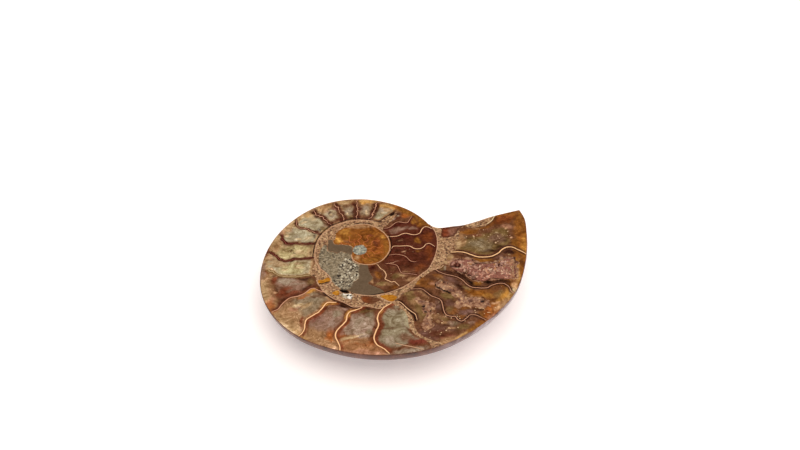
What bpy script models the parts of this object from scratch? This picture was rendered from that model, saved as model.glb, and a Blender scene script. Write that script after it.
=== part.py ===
"""Half of a sawn and polished ammonite, lying on its ground back with the cut face up and level.

The cut face follows a logarithmic spiral. Below it the shell is a low dome, ground flat
underneath. One chamber is an open pocket, and a crust of calcite crystals lines it.
"""

import math
import random
from itertools import product

import bmesh
import bpy
import numpy as np
from mathutils import Matrix, Vector, noise

MM = 0.001

# The venter, the shell's outer edge, as a logarithmic spiral about the first chamber.
# Angles run from +X towards +Y, and the spiral closes in as the angle falls.
SPIRAL_RADIUS = 66.8 * MM  # where the angle is zero
SPIRAL_GROWTH = 0.1388  # per radian
APERTURE_ANGLE = math.radians(21.3)
INNER_ANGLE = math.radians(-325)  # where the next whorl in comes out from under the last one
OPEN_ANGLE = math.radians(75)  # how far the dome is drawn past the aperture before it is sawn off
RIM_STEPS = 108

# Where the grown shell swells out of the spiral or falls short of it: (degrees, mm).
VENTER_SWELL = [
    (-325, 1.3), (-305, 0.6), (-285, 0.0), (-264, 0.2), (-240, 0.45), (-205, -0.5), (-175, -0.4),
    (-148, 0.7), (-122, 0.6), (-104, -0.3), (-85, -0.3), (-60, 0.2), (-33, 0.4), (-22, 0.8), (-9, -0.1),
    (2, -0.4), (9, -0.2), (17, 0.4), (22, -0.3), (35, -0.4), (75, 0.0),
]

# The sawn end in mm, from the aperture's corner in to the next whorl.
END_CUT = [
    (65.2, 25.5), (59.0, 23.7), (52.4, 21.5), (46.7, 19.0), (41.1, 17.0), (36.0, 16.3), (30.9, 15.6),
    (28.0, 16.5), (26.1, 18.3),
]
END_STEPS = 4  # between two of those points
SEEN_FROM = (22.0, -13.0)  # every point of the outline can be seen from here

# The back.
HALF_THICKNESS = 13.0 * MM
DOME_WIDTH = 24.0 * MM  # from the venter in to the ground flat
EDGE_BEVEL = 0.5 * MM
WALL_LEVELS = 3
WALL_TURN = math.radians(24)  # how far down the dome's quarter turn those levels reach at a round edge
DOME_LEVELS = 9
GROUND_FLAT = 0.9995  # the share of the full depth that grinding takes as flat

# The open chamber in mm, and its crust.
POCKET_OUTLINE = [
    (34.3, -6.6), (35.2, -4.6), (38.3, -3.6), (42.3, -3.8), (45.6, -5.9), (50.7, -6.5), (55.6, -4.6),
    (60.4, -3.8), (61.2, -6.2), (60.6, -9.0), (60.9, -12.2), (59.2, -15.4), (54.6, -15.0), (50.6, -14.8),
    (47.8, -16.4), (45.0, -15.6), (42.2, -14.0), (40.2, -11.3), (37.2, -10.2), (35.0, -8.4),
]
POCKET_MIDDLE = (49.0, -9.6)
POCKET_STEPS = 3
POCKET_DEPTH = 4.2 * MM
POCKET_ROUGHNESS = 0.25 * MM
CRUST_GAP = 0.35 * MM
CRUST_RIM = 0.3 * MM  # how far the crust's edge stays under the cut face
CRUST_HOLLOW = 1.5 * MM  # and its middle, which crystals stand up from
CRYSTAL_COUNT = 60
CRYSTAL_SIZE = (1.3 * MM, 3.0 * MM)
CRYSTAL_SPACING = 1.1 * MM
CRYSTAL_TOPS = (0.15 * MM, 0.6 * MM)  # how far their tips stay under the cut face
CRYSTAL_ROOTS = (0.4 * MM, 0.9 * MM)  # how far they reach down into the crust
RHOMB_SKEW = (0.25, 0.2)
CRYSTAL_SEED = 7

# Small hollows in the cut face: x, y, length, width and depth in mm, and direction in degrees.
HOLLOWS = {
    "burrow": (-8.2, -20.1, 3.4, 2.0, 4.0, -20),
    "matrix_pit_left": (-10.9, -10.6, 1.8, 1.1, 1.0, 30),
    "matrix_pit_upper": (-17.2, -3.0, 1.3, 0.9, 0.8, 0),
    "matrix_pit_lower": (-12.6, -13.9, 1.5, 1.0, 0.9, -40),
    "matrix_pit_rim": (-19.9, -8.8, 1.2, 0.8, 0.8, 60),
    "upper_chamber_pit": (10.4, 24.2, 2.6, 1.2, 1.3, 38),
    "right_chamber_slit": (32.2, -21.2, 5.2, 1.3, 1.8, -36),
    "right_chamber_pit": (29.4, -18.4, 1.8, 1.2, 1.2, -60),
    "lower_chamber_pit_a": (23.1, -29.0, 1.9, 1.1, 1.3, 40),
    "lower_chamber_pit_b": (24.0, -31.8, 2.0, 1.1, 1.3, -15),
    "lower_chamber_pit_c": (25.9, -31.0, 1.4, 1.0, 1.1, 70),
    "rim_chamber_pit": (46.6, -26.9, 2.2, 1.0, 1.0, 15),
}


def swell(angle):
    """The shell's departure from the spiral at an angle: a smooth line through the stated values."""
    degrees, offsets = zip(*VENTER_SWELL)
    slopes = np.gradient(offsets, degrees)
    at = min(max(math.degrees(angle), degrees[0]), degrees[-1])
    i = min(int(np.searchsorted(degrees, at, "right")) - 1, len(degrees) - 2)
    span = degrees[i + 1] - degrees[i]
    t = (at - degrees[i]) / span
    rise = (1 - t) ** 2 * slopes[i] - (1 - t) * t * slopes[i + 1]
    ends = (1 + 2 * t) * (1 - t) ** 2 * offsets[i] + t * t * (3 - 2 * t) * offsets[i + 1]
    return (ends + t * rise * span) * MM


def venter(angle):
    """The venter's point at an angle."""
    radius = SPIRAL_RADIUS * math.exp(SPIRAL_GROWTH * angle) + swell(angle)
    return Vector((radius * math.cos(angle), radius * math.sin(angle)))


def smooth(points, steps, closed):
    """A curve in metres through points in mm, with this many steps from one to the next."""
    knots = [Vector(point) * MM for point in points]
    before, after = ([knots[-1]], knots[:2]) if closed else ([knots[0]], [knots[-1]])
    knots = before + knots + after
    curve = []
    for a, b, c, d in zip(knots, knots[1:], knots[2:], knots[3:]):
        for i in range(steps):
            t = i / steps
            bend = (2 * a - 5 * b + 4 * c - d) * t * t + (3 * b - a - 3 * c + d) * t**3
            curve.append((2 * b + (c - a) * t + bend) / 2)
    return curve


def outline():
    """The cut face's outline, anticlockwise: the venter round to the aperture, then the sawn end."""
    span = APERTURE_ANGLE - INNER_ANGLE
    rim = [venter(INNER_ANGLE + span * i / RIM_STEPS) for i in range(RIM_STEPS + 1)]
    return rim[:-1] + smooth(END_CUT, END_STEPS, closed=False)


def from_venter(point, line):
    """The distance from a point to the nearest of the venter's points."""
    return float(np.hypot(line[:, 0] - point.x, line[:, 1] - point.y).min())


def dome_depth(distance):
    """How far below the cut face the dome's surface is, at a distance from the venter."""
    share = 1 - min(1.0, distance / DOME_WIDTH)
    return HALF_THICKNESS * math.sqrt(1 - share * share)


def walk_in(start, wanted, line):
    """The first point on the way in from the outline where the dome is this deep."""
    middle = Vector(SEEN_FROM) * MM
    low, high = 0.0, 1.0
    if dome_depth(from_venter(start, line)) >= wanted:
        return start
    for _ in range(24):
        half = (low + high) / 2
        if dome_depth(from_venter(start.lerp(middle, half), line)) < wanted:
            low = half
        else:
            high = half
    return start.lerp(middle, high)


def half_rings():
    """The solid's rings from the cut face down: down the sawn end's wall, and on over the dome."""
    angles = np.linspace(INNER_ANGLE, OPEN_ANGLE, 1600)
    line = np.array([venter(angle) for angle in angles])
    columns = []
    for point in outline():
        inward = (Vector(SEEN_FROM) * MM - point).normalized()
        column = [(*(point + inward * EDGE_BEVEL), 0.0), (*point, -EDGE_BEVEL)]
        wall = max(dome_depth(from_venter(point, line)), HALF_THICKNESS * math.sin(WALL_TURN))
        for k in range(1, WALL_LEVELS + 1):
            depth = EDGE_BEVEL + (wall - EDGE_BEVEL) * (k / WALL_LEVELS) ** 1.4
            foot = walk_in(point, depth, line)
            column.append((*foot, -depth))
        flat = walk_in(point, HALF_THICKNESS * GROUND_FLAT, line)
        for k in range(1, DOME_LEVELS):
            turn = WALL_TURN + (math.pi / 2 - WALL_TURN) * k / DOME_LEVELS
            spot = foot.lerp(flat, 1 - math.cos(turn) / math.cos(WALL_TURN))
            column.append((*spot, -dome_depth(from_venter(spot, line))))
        column.append((*flat, -HALF_THICKNESS))
        columns.append(column)
    return [list(ring) for ring in zip(*columns)]


def add_object(name, form, collection):
    """Makes an object from a bmesh and frees it."""
    mesh = bpy.data.meshes.new(name)
    form.to_mesh(mesh)
    form.free()
    made = bpy.data.objects.new(name, mesh)
    collection.objects.link(made)
    return made


def loft(name, rings, collection):
    """A closed body through rings of equal count, capped at both ends."""
    form = bmesh.new()
    rows = [[form.verts.new(point) for point in ring] for ring in rings]
    for upper, lower in zip(rows, rows[1:]):
        for i in range(len(upper)):
            j = (i + 1) % len(upper)
            form.faces.new((upper[i], lower[i], lower[j], upper[j]))
    form.faces.new(rows[0])
    form.faces.new(reversed(rows[-1]))
    bmesh.ops.recalc_face_normals(form, faces=form.faces)
    return add_object(name, form, collection)


def pocket_ring(edge, scale, height, roughness=0.0):
    """The pocket's outline drawn in towards its middle, at a height that may wander."""
    middle = Vector(POCKET_MIDDLE) * MM
    ring = []
    for point in edge:
        x, y = middle + (point - middle) * scale
        ring.append((x, y, height + roughness * noise.noise(Vector((x, y, 0)) / (2 * MM))))
    return ring


def cut(target, cutter):
    hollow = target.modifiers.new(cutter.name, "BOOLEAN")
    hollow.operation = "DIFFERENCE"
    hollow.solver = "EXACT"
    hollow.object = cutter


def pocket_cutter(collection):
    edge = smooth(POCKET_OUTLINE, POCKET_STEPS, closed=True)
    floor = -POCKET_DEPTH
    rings = [pocket_ring(edge, 1.0, 2 * MM), pocket_ring(edge, 0.99, floor * 0.45)]
    for scale, share in ((0.9, 0.82), (0.68, 0.97), (0.3, 0.95)):
        rings.append(pocket_ring(edge, scale, floor * share, POCKET_ROUGHNESS))
    return loft("crystal_pocket", rings, collection)


def hollow_cutter(name, place, collection):
    """An uneven lens sunk in the cut face, for one small hollow."""
    x, y, length, width, depth, direction = place
    form = bmesh.new()
    bmesh.ops.create_icosphere(form, subdivisions=2, radius=1.0)
    for corner in form.verts:
        corner.co *= 1 + 0.22 * noise.noise(corner.co * 1.7 + Vector((x, y, 0)))
    size = Matrix.Diagonal((length / 2 * MM, width / 2 * MM, depth * MM, 1))
    turn = Matrix.Rotation(math.radians(direction), 4, "Z")
    place = Matrix.Translation((x * MM, y * MM, 0))
    bmesh.ops.transform(form, matrix=place @ turn @ size, verts=form.verts)
    return add_object(name, form, collection)


def make_half(collection, cutters):
    """The stone itself, with its pocket and its small hollows."""
    half = loft("ammonite_half", half_rings(), collection)
    half.data.shade_smooth()
    half.data.set_sharp_from_angle(angle=math.radians(30))
    cut(half, pocket_cutter(cutters))
    for name, place in HOLLOWS.items():
        cut(half, hollow_cutter(name, place, cutters))
    return half


def inside(point, edge):
    """Whether a point lies inside a closed outline."""
    found = False
    for a, b in zip(edge, edge[1:] + edge[:1]):
        if (a.y > point.y) != (b.y > point.y):
            if point.x < a.x + (point.y - a.y) * (b.x - a.x) / (b.y - a.y):
                found = not found
    return found


def from_edge(point, edge):
    """The distance from a point to the nearest side of a closed outline."""
    nearest = []
    for a, b in zip(edge, edge[1:] + edge[:1]):
        share = (point - a).dot(b - a) / (b - a).length_squared
        nearest.append((point - a.lerp(b, min(1, max(0, share)))).length)
    return min(nearest)


def add_crystal(form, rng, spot, size):
    """One blunt calcite rhomb that leans at random, its sides straight down below its widest."""
    lean = Matrix.Rotation(rng.uniform(0.25, 0.95), 4, "Y") @ Matrix.Rotation(rng.uniform(-0.5, 0.5), 4, "X")
    turn = Matrix.Rotation(rng.uniform(0, math.tau), 4, "Z")
    skew = Matrix.Shear("XY", 4, RHOMB_SKEW)
    corners = [turn @ lean @ skew @ (Vector(signs) * size / 2) for signs in product((-1, 1), repeat=3)]
    lift = -rng.uniform(*CRYSTAL_TOPS) - max(corner.z for corner in corners)
    root = -CRUST_HOLLOW - rng.uniform(*CRYSTAL_ROOTS)
    made = []
    for corner in corners:
        heights = (corner.z + lift, root) if corner.z > 0 else (root,)
        made += [form.verts.new((corner.x + spot.x, corner.y + spot.y, height)) for height in heights]
    bmesh.ops.convex_hull(form, input=made)


def crystal_cluster(edge, helpers):
    """All the crystals, each clear of the pocket's wall."""
    rng = random.Random(CRYSTAL_SEED)
    corners = np.array(edge)
    form = bmesh.new()
    placed = []
    while len(placed) < CRYSTAL_COUNT:
        spot = Vector(rng.uniform(*span) for span in zip(corners.min(axis=0), corners.max(axis=0)))
        if not inside(spot, edge):
            continue
        size = min(rng.uniform(*CRYSTAL_SIZE), from_edge(spot, edge) - CRUST_GAP)
        if size < CRYSTAL_SIZE[0] or any((spot - other).length < CRYSTAL_SPACING for other in placed):
            continue
        placed.append(spot)
        add_crystal(form, rng, spot, size)
    return add_object("crystals", form, helpers)


def make_crust(collection, helpers):
    """The crust in the pocket: a dished sheet on its floor and walls, with crystals fused to it."""
    middle = Vector(POCKET_MIDDLE) * MM
    edge = smooth(POCKET_OUTLINE, POCKET_STEPS, closed=True)
    edge = [point + (middle - point).normalized() * CRUST_GAP * 1.3 for point in edge]
    floor = CRUST_GAP - POCKET_DEPTH
    rings = [pocket_ring(edge, 0.35, -CRUST_HOLLOW), pocket_ring(edge, 0.8, -CRUST_HOLLOW * 0.9)]
    rings += [pocket_ring(edge, 0.94, -CRUST_HOLLOW * 0.5), pocket_ring(edge, 1.0, -CRUST_RIM)]
    rings.append(pocket_ring(edge, 0.985, floor * 0.45))
    for scale, share in ((0.89, 0.78), (0.67, 0.95), (0.3, 0.93)):
        rings.append(pocket_ring(edge, scale, floor * share, POCKET_ROUGHNESS))
    crust = loft("pocket_crystals", rings, collection)
    fused = crust.modifiers.new("crystals", "BOOLEAN")
    fused.operation = "UNION"
    fused.solver = "EXACT"
    fused.use_self = True
    fused.object = crystal_cluster(edge, helpers)
    return crust


def finish(name, colour, roughness):
    made = bpy.data.materials.new(name)
    made.use_nodes = True
    shader = made.node_tree.nodes["Principled BSDF"]
    shader.inputs["Base Color"].default_value = (*colour, 1.0)
    shader.inputs["Roughness"].default_value = roughness
    shader.inputs["Metallic"].default_value = 0.0
    return made


def new_collection(name):
    made = bpy.data.collections.new(name)
    bpy.context.scene.collection.children.link(made)
    return made


def main():
    for thing in list(bpy.data.objects):
        bpy.data.objects.remove(thing)
    parts = new_collection("ammonite_fossil")
    cutters = new_collection("cutters")

    half = make_half(parts, cutters)
    half.data.materials.append(finish("polished_calcite", (0.33, 0.16, 0.07), 0.15))
    crust = make_crust(parts, cutters)
    crust.data.materials.append(finish("crystal_calcite", (0.48, 0.24, 0.20), 0.35))
    for cutter in cutters.objects:
        cutter.hide_render = True
        cutter.display_type = "WIRE"

    # The base's middle is the origin, so the first chamber stands off it.
    rim = np.array(outline())
    middle = (rim.min(axis=0) + rim.max(axis=0)) / 2
    first_chamber = bpy.data.objects.new("first_chamber", None)
    parts.objects.link(first_chamber)
    first_chamber.location = (-middle[0], -middle[1], HALF_THICKNESS)
    for thing in (half, crust, *cutters.objects):
        thing.parent = first_chamber


main()
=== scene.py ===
"""The looks of a sawn and polished ammonite half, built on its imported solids.

The stone is one fine mesh: a level cut face, a thin eased edge, the sawn end, the domed shell and the
ground back. What the face shows is drawn in millimetres about the first chamber, as lines and outlines
that become distance attributes, and the finishes read those. A druse of small crystals fills the pocket.
"""

import math
import random
from itertools import product

import bmesh
import bpy
import numpy as np
from mathutils import Matrix, Vector


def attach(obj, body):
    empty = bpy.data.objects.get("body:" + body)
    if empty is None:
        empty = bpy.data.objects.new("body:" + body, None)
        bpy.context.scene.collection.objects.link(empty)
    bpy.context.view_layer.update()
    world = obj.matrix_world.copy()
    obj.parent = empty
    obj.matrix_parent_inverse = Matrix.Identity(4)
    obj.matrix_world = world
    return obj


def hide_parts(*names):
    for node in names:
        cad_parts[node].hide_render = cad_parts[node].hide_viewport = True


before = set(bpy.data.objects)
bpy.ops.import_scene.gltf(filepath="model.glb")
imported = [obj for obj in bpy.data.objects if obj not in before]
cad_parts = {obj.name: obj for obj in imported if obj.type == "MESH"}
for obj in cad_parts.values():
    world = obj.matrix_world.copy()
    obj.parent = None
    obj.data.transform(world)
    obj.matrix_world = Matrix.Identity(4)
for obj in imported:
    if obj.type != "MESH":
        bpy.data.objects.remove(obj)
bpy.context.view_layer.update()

MM = 0.001

# ---------------------------------------------------------------- the solid's own dimensions, in mm
SPIRAL_RADIUS = 66.8  # of the venter, the shell's outer edge, where its angle is nought
SPIRAL_GROWTH = 0.1388  # per radian
APERTURE_ANGLE = 21.3  # degrees, as every angle in this block
INNER_ANGLE = -325.0  # where the next whorl in comes out from under the last one
OPEN_ANGLE = 75.0  # how far the dome is drawn past the aperture before it is sawn off
# Where the grown shell swells out of the spiral or falls short of it: degrees, mm.
VENTER_SWELL = [
    (-325, 1.3), (-305, 0.6), (-285, 0), (-264, 0.2), (-240, 0.45), (-205, -0.5), (-175, -0.4),
    (-148, 0.7), (-122, 0.6), (-104, -0.3), (-85, -0.3), (-60, 0.2), (-33, 0.4), (-22, 0.8), (-9, -0.1),
    (2, -0.4), (9, -0.2), (17, 0.4), (22, -0.3), (35, -0.4), (75, 0),
]
# The sawn end, from the aperture's corner in to the next whorl.
END_CUT = [
    (65.2, 25.5), (59, 23.7), (52.4, 21.5), (46.7, 19), (41.1, 17), (36, 16.3), (30.9, 15.6), (28, 16.5),
    (26.1, 18.3),
]
SEEN_FROM = np.array((22.0, -13.0))  # every point of the outline can be seen from here
HALF_THICKNESS = 13.0
DOME_WIDTH = 24.0  # from the venter in to the ground flat
GROUND_FLAT = 0.9995  # the share of the full depth that grinding takes as flat
POCKET_DEPTH = 4.2
POCKET_OUTLINE = [
    (34.3, -6.6), (35.2, -4.6), (38.3, -3.6), (42.3, -3.8), (45.6, -5.9), (50.7, -6.5), (55.6, -4.6),
    (60.4, -3.8), (61.2, -6.2), (60.6, -9), (60.9, -12.2), (59.2, -15.4), (54.6, -15), (50.6, -14.8),
    (47.8, -16.4), (45, -15.6), (42.2, -14), (40.2, -11.3), (37.2, -10.2), (35, -8.4),
]

# ---------------------------------------------------------------- how finely the mesh is drawn, in mm
RIM_SAMPLES = 1200  # of the venter, before its points are spaced evenly
END_STEPS = 12  # between two points of the sawn end
RIM_POINTS = 860
OUTLINE_SAMPLES = 600  # of the outline, where only the distance to it counts
DISTANCE_SAMPLES = 420  # of the venter, the same
FACE_REACH = 60  # from SEEN_FROM to the rim, about
FACE_STEP = 0.4
EDGE_EASE = 0.25
WALL_ROWS = 6
WALL_CROWDING = 1.4  # the rows lie closer together towards the edge
WALL_TURN = math.radians(24)  # how far down the dome's quarter turn those rows reach
DOME_ROWS = 22
GROUND_REACH = 34  # from SEEN_FROM to the ground flat's edge, about
GROUND_STEP = 1.0
GROUND_POINTS = RIM_POINTS / 3
FEWEST = 8  # points in a ring
HALVINGS = 15  # when looking for a depth
LINE_REACH = 4.0  # no line or outline is felt further off than this


def swell(degrees):
    """How far the grown shell stands out of the spiral at these angles."""
    at, offset = (np.array(column, float) for column in zip(*VENTER_SWELL))
    slope = np.gradient(offset, at)
    place = np.clip(degrees, at[0], at[-1])
    i = np.clip(np.searchsorted(at, place, "right") - 1, 0, len(at) - 2)
    span = at[i + 1] - at[i]
    t = (place - at[i]) / span
    rise = (1 - t) ** 2 * slope[i] - (1 - t) * t * slope[i + 1]
    ends = (1 + 2 * t) * (1 - t) ** 2 * offset[i] + t * t * (3 - 2 * t) * offset[i + 1]
    return ends + t * rise * span


def venter(degrees):
    """The shell's outer edge at these angles."""
    turn = np.radians(degrees)
    radius = SPIRAL_RADIUS * np.exp(SPIRAL_GROWTH * turn) + swell(degrees)
    return np.stack([radius * np.cos(turn), radius * np.sin(turn)], -1)


def curve(points, steps=6, closed=False):
    """A smooth line through a few points, with this many steps from one to the next."""
    knots = np.array(points, float)
    first, last = (knots[-1:], knots[:2]) if closed else (knots[:1], knots[-1:])
    knots = np.concatenate([first, knots, last])
    t = (np.arange(steps) / steps)[None, :, None]
    a, b, c, d = (knots[i:len(knots) - 3 + i, None, :] for i in range(4))
    bend = (2 * a - 5 * b + 4 * c - d) * t * t + (3 * b - a - 3 * c + d) * t**3
    line = ((2 * b + (c - a) * t + bend) / 2).reshape(-1, 2)
    return line if closed else np.concatenate([line, knots[-1:]])


def evenly(line, count):
    """A closed line's points again, this many at even spacing."""
    loop = np.concatenate([line, line[:1]])
    run = np.concatenate([[0], np.cumsum(np.linalg.norm(np.diff(loop, axis=0), axis=1))])
    at = np.arange(count) / count * run[-1]
    return np.stack([np.interp(at, run, loop[:, k]) for k in (0, 1)], -1)


def face_outline():
    """The cut face's outline: the venter up to the aperture, and the sawn end."""
    rim = venter(np.linspace(INNER_ANGLE, APERTURE_ANGLE, RIM_SAMPLES))[:-1]
    return np.concatenate([rim, curve(END_CUT, END_STEPS)[:-1]])


def rim_distance(spots):
    """How far each spot lies from the venter, which runs on past the sawn end."""
    return from_line(spots, venter(np.linspace(INNER_ANGLE, OPEN_ANGLE, DISTANCE_SAMPLES)))[0]


def from_line(spots, line, reach=None, batch=4000):
    """For each spot: its distance to an open line, the side it is on (1 left, -1 right) and how far along.

    With a reach, a spot further than that from the line's box only gets the reach as its distance.
    The spots are taken in batches, so that little memory is needed.
    """
    if reach:
        close = ((spots > line.min(0) - reach) & (spots < line.max(0) + reach)).all(1)
        answers = [np.full(len(spots), float(start)) for start in (reach, 1, 0)]
        for answer, found in zip(answers, from_line(spots[close], line)):
            answer[close] = found
        return answers
    start, step = line[:-1], np.diff(line, axis=0)
    square = (step**2).sum(1)
    distance, side, along = (np.empty(len(spots)) for _ in range(3))
    for i in range(0, len(spots), batch):
        lead = spots[i:i + batch, None] - start
        share = np.clip((lead * step).sum(2) / square, 0, 1)
        gap = ((lead - share[..., None] * step) ** 2).sum(2)
        near = gap.argmin(1)
        row = np.arange(len(near))
        beside = step[near, 0] * lead[row, near, 1] - step[near, 1] * lead[row, near, 0]
        distance[i:i + batch] = np.sqrt(gap[row, near])
        side[i:i + batch] = np.where(beside >= 0, 1, -1)
        along[i:i + batch] = (near + share[row, near]) / len(step)
    return distance, side, along


def within(spots, loop, reach=None):
    """How far each spot lies inside a closed loop in mm, and below nought outside it."""
    inside = np.zeros(len(spots), bool)
    for a, b in zip(loop, np.roll(loop, -1, axis=0)):
        if a[1] != b[1]:
            crosses = (a[1] > spots[:, 1]) != (b[1] > spots[:, 1])
            inside ^= crosses & (spots[:, 0] < a[0] + (spots[:, 1] - a[1]) * (b[0] - a[0]) / (b[1] - a[1]))
    distance = from_line(spots, np.concatenate([loop, loop[:1]]), reach)[0]
    return np.where(inside, distance, -distance)


def inside_any(spots, outlines):
    """How far each spot lies inside the nearest of these outlines."""
    return np.max([within(spots, curve(outline, 4, True), LINE_REACH) for outline in outlines], axis=0)


def off_any(spots, lines):
    """How far each spot lies from the nearest of these lines, and the same with the side's sign."""
    far, side = np.transpose([from_line(spots, line, LINE_REACH)[:2] for line in lines], (1, 0, 2))
    near, every = far.argmin(0), np.arange(len(spots))
    return far[near, every], (far * side)[near, every]


def ease(low, high, value):
    """A soft step from 0 at the low value to 1 at the high one, which may be the smaller of the two."""
    t = np.clip((value - low) / (high - low), 0, 1)
    return t * t * (3 - 2 * t)


def oval_share(spots, x, y, length, width, direction):
    """How far out each spot lies in an oval: nought at its middle, 1 at its edge, more beyond."""
    turn = math.radians(direction)
    along = (spots[:, 0] - x) * math.cos(turn) + (spots[:, 1] - y) * math.sin(turn)
    across = (spots[:, 1] - y) * math.cos(turn) - (spots[:, 0] - x) * math.sin(turn)
    return np.hypot(along / length, across / width)


def wander(spots, size, seed, layers=3):
    """Smooth random values about nought that change over this many mm, with finer ones laid over them."""
    rng = np.random.default_rng(seed)
    total, strength = np.zeros(len(spots)), 1.0
    for _ in range(layers):
        table = rng.uniform(-1, 1, (256, 256))
        at = spots / size + 128
        low = np.floor(at).astype(int)
        t = at - low
        tx, ty = (t * t * (3 - 2 * t)).T
        (x0, y0), (x1, y1) = (low % 256).T, ((low + 1) % 256).T
        near = table[x0, y0] * (1 - tx) + table[x1, y0] * tx
        far = table[x0, y1] * (1 - tx) + table[x1, y1] * tx
        total += strength * (near * (1 - ty) + far * ty)
        strength, size = strength / 2, size / 2
    return total


# ---------------------------------------------------------------- the stone's mesh


def dome_depth(distance):
    """How deep the dome lies below the cut face at this distance in from the venter: a quarter oval."""
    return HALF_THICKNESS * np.sqrt(1 - (1 - np.clip(distance / DOME_WIDTH, 0, 1)) ** 2)


def walk_in(starts, wanted):
    """Where the dome is this deep, on the way in from each start."""
    low, high = np.zeros(len(starts)), np.ones(len(starts))
    high[dome_depth(rim_distance(starts)) >= wanted] = 0
    for _ in range(HALVINGS):
        half = (low + high) / 2
        spots = starts + (SEEN_FROM - starts) * half[:, None]
        deep = dome_depth(rim_distance(spots)) >= wanted
        high = np.where(deep, half, high)
        low = np.where(deep, low, half)
    return starts + (SEEN_FROM - starts) * high[:, None]


def drawn_in(ring, amount, middle):
    """A ring moved this many mm towards a middle."""
    way = middle - ring
    return ring + way / np.linalg.norm(way, axis=1, keepdims=True) * amount


FACE, EDGE, SAWN, SHELL = range(4)  # zones


def filling_rings(edge, middle, most, steps):
    """Rings from near the middle out to a closed edge, each with its share of the edge's points."""
    for k in range(1, steps + 1):
        count = max(FEWEST, round(most * k / steps))
        yield middle + (evenly(edge, count) - middle) * k / steps


def stone_rings():
    """The stone's closed rings from the middle of the face, out over the edge and in under the back.

    Each is its points in plan, their heights and their zones.
    """
    rim = evenly(face_outline(), RIM_POINTS)
    eased = drawn_in(rim, EDGE_EASE, SEEN_FROM)
    rings = [
        (ring, np.zeros(len(ring)), np.full(len(ring), FACE))
        for ring in filling_rings(eased, SEEN_FROM, RIM_POINTS, int(FACE_REACH / FACE_STEP))
    ]
    sawn = rim_distance(rim) > EDGE_EASE
    edge = np.where(sawn, SAWN, EDGE)
    shoulder = EDGE_EASE * 0.3  # rounds the eased edge
    rings.append((drawn_in(rim, shoulder, SEEN_FROM), np.full(RIM_POINTS, -shoulder), edge))
    rings.append((rim, np.full(RIM_POINTS, -EDGE_EASE), edge))

    wall = np.maximum(dome_depth(rim_distance(rim)), HALF_THICKNESS * math.sin(WALL_TURN))
    side = np.where(sawn, SAWN, SHELL)
    for k in range(1, WALL_ROWS + 1):
        depth = EDGE_EASE + (wall - EDGE_EASE) * (k / WALL_ROWS) ** WALL_CROWDING
        foot = walk_in(rim, depth)
        rings.append((foot, -depth, side))
    shell = np.full(RIM_POINTS, SHELL)
    flat = walk_in(rim, np.full(RIM_POINTS, HALF_THICKNESS * GROUND_FLAT))
    for k in range(1, DOME_ROWS + 1):
        turn = WALL_TURN + (math.pi / 2 - WALL_TURN) * k / DOME_ROWS
        spots = foot + (flat - foot) * (1 - math.cos(turn) / math.cos(WALL_TURN))
        rings.append((spots, -dome_depth(rim_distance(spots)), shell))
    ground = list(filling_rings(flat, SEEN_FROM, GROUND_POINTS, int(GROUND_REACH / GROUND_STEP)))
    for ring in ground[-2::-1]:
        rings.append((ring, -dome_depth(rim_distance(ring)), np.full(len(ring), SHELL)))
    return rings


def zipper(outer, inner):
    """Triangles between two closed rings of (first vertex, count)."""
    (a, a_count), (b, b_count) = outer, inner
    i = j = 0
    made = []
    while i < a_count or j < b_count:
        if j >= b_count or (i < a_count and (i + 1) * b_count <= (j + 1) * a_count):
            made.append((a + i % a_count, a + (i + 1) % a_count, b + j % b_count))
            i += 1
        else:
            made.append((a + i % a_count, b + (j + 1) % b_count, b + j % b_count))
            j += 1
    return made


def weld_rings(rings, first_tip, last_tip):
    """One closed body through rings of (points in plan, heights, zones), with a point at either end.

    Gives its points in plan, their heights, their zones and its triangles.
    """
    spots, heights, zones = [first_tip[:2][None]], [first_tip[2:]], [rings[0][2][:1]]
    triangles = []
    start, before = 1, None
    for ring, height, zone in rings:
        now = (start, len(ring))
        if before is None:
            triangles += [(start + i, start + (i + 1) % len(ring), 0) for i in range(len(ring))]
        else:
            triangles += zipper(now, before)
        spots.append(ring)
        heights.append(height)
        zones.append(zone)
        start, before = start + len(ring), now
    triangles += [(before[0] + (i + 1) % before[1], before[0] + i, start) for i in range(before[1])]
    spots.append(last_tip[:2][None])
    heights.append(last_tip[2:])
    zones.append(rings[-1][2][:1])
    return np.concatenate(spots), np.concatenate(heights), np.concatenate(zones), np.array(triangles)


# ---------------------------------------------------------------- what the cut face shows, in mm
MINERALS = {
    "celadon": "#ADA182", "pale_green": "#B8A978", "fog": "#9F8B75", "cream": "#D0B388",
    "sage": "#8C7B62", "veil": "#AD9484", "mauve": "#8F6E5A", "plum": "#6E4C40", "tan": "#A87F58",
    "honey": "#C48A3C", "peach": "#E0AE84", "orange": "#A85C24", "amber": "#8A531B", "rust": "#7C3F1C",
    "brown": "#6B432B", "olive": "#7A6038", "umber": "#3B1E14", "mahogany": "#582A1A",
    "maroon": "#481811", "black": "#170A07", "buff": "#B6946A", "oxblood": "#703022", "ochre": "#8F5B20",
    "dusty_pink": "#B98466", "apricot": "#E8B482", "gold": "#CC9D5E", "rose_grey": "#A78D78",
    "russet": "#7A3A20", "ivory": "#EED0A6",
}

SEAM = 0.26  # the dark seam of iron along a wall
OTHER_SIDE = 0.3  # how much of its shade and seam a one-sided wall has on its other side
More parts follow.
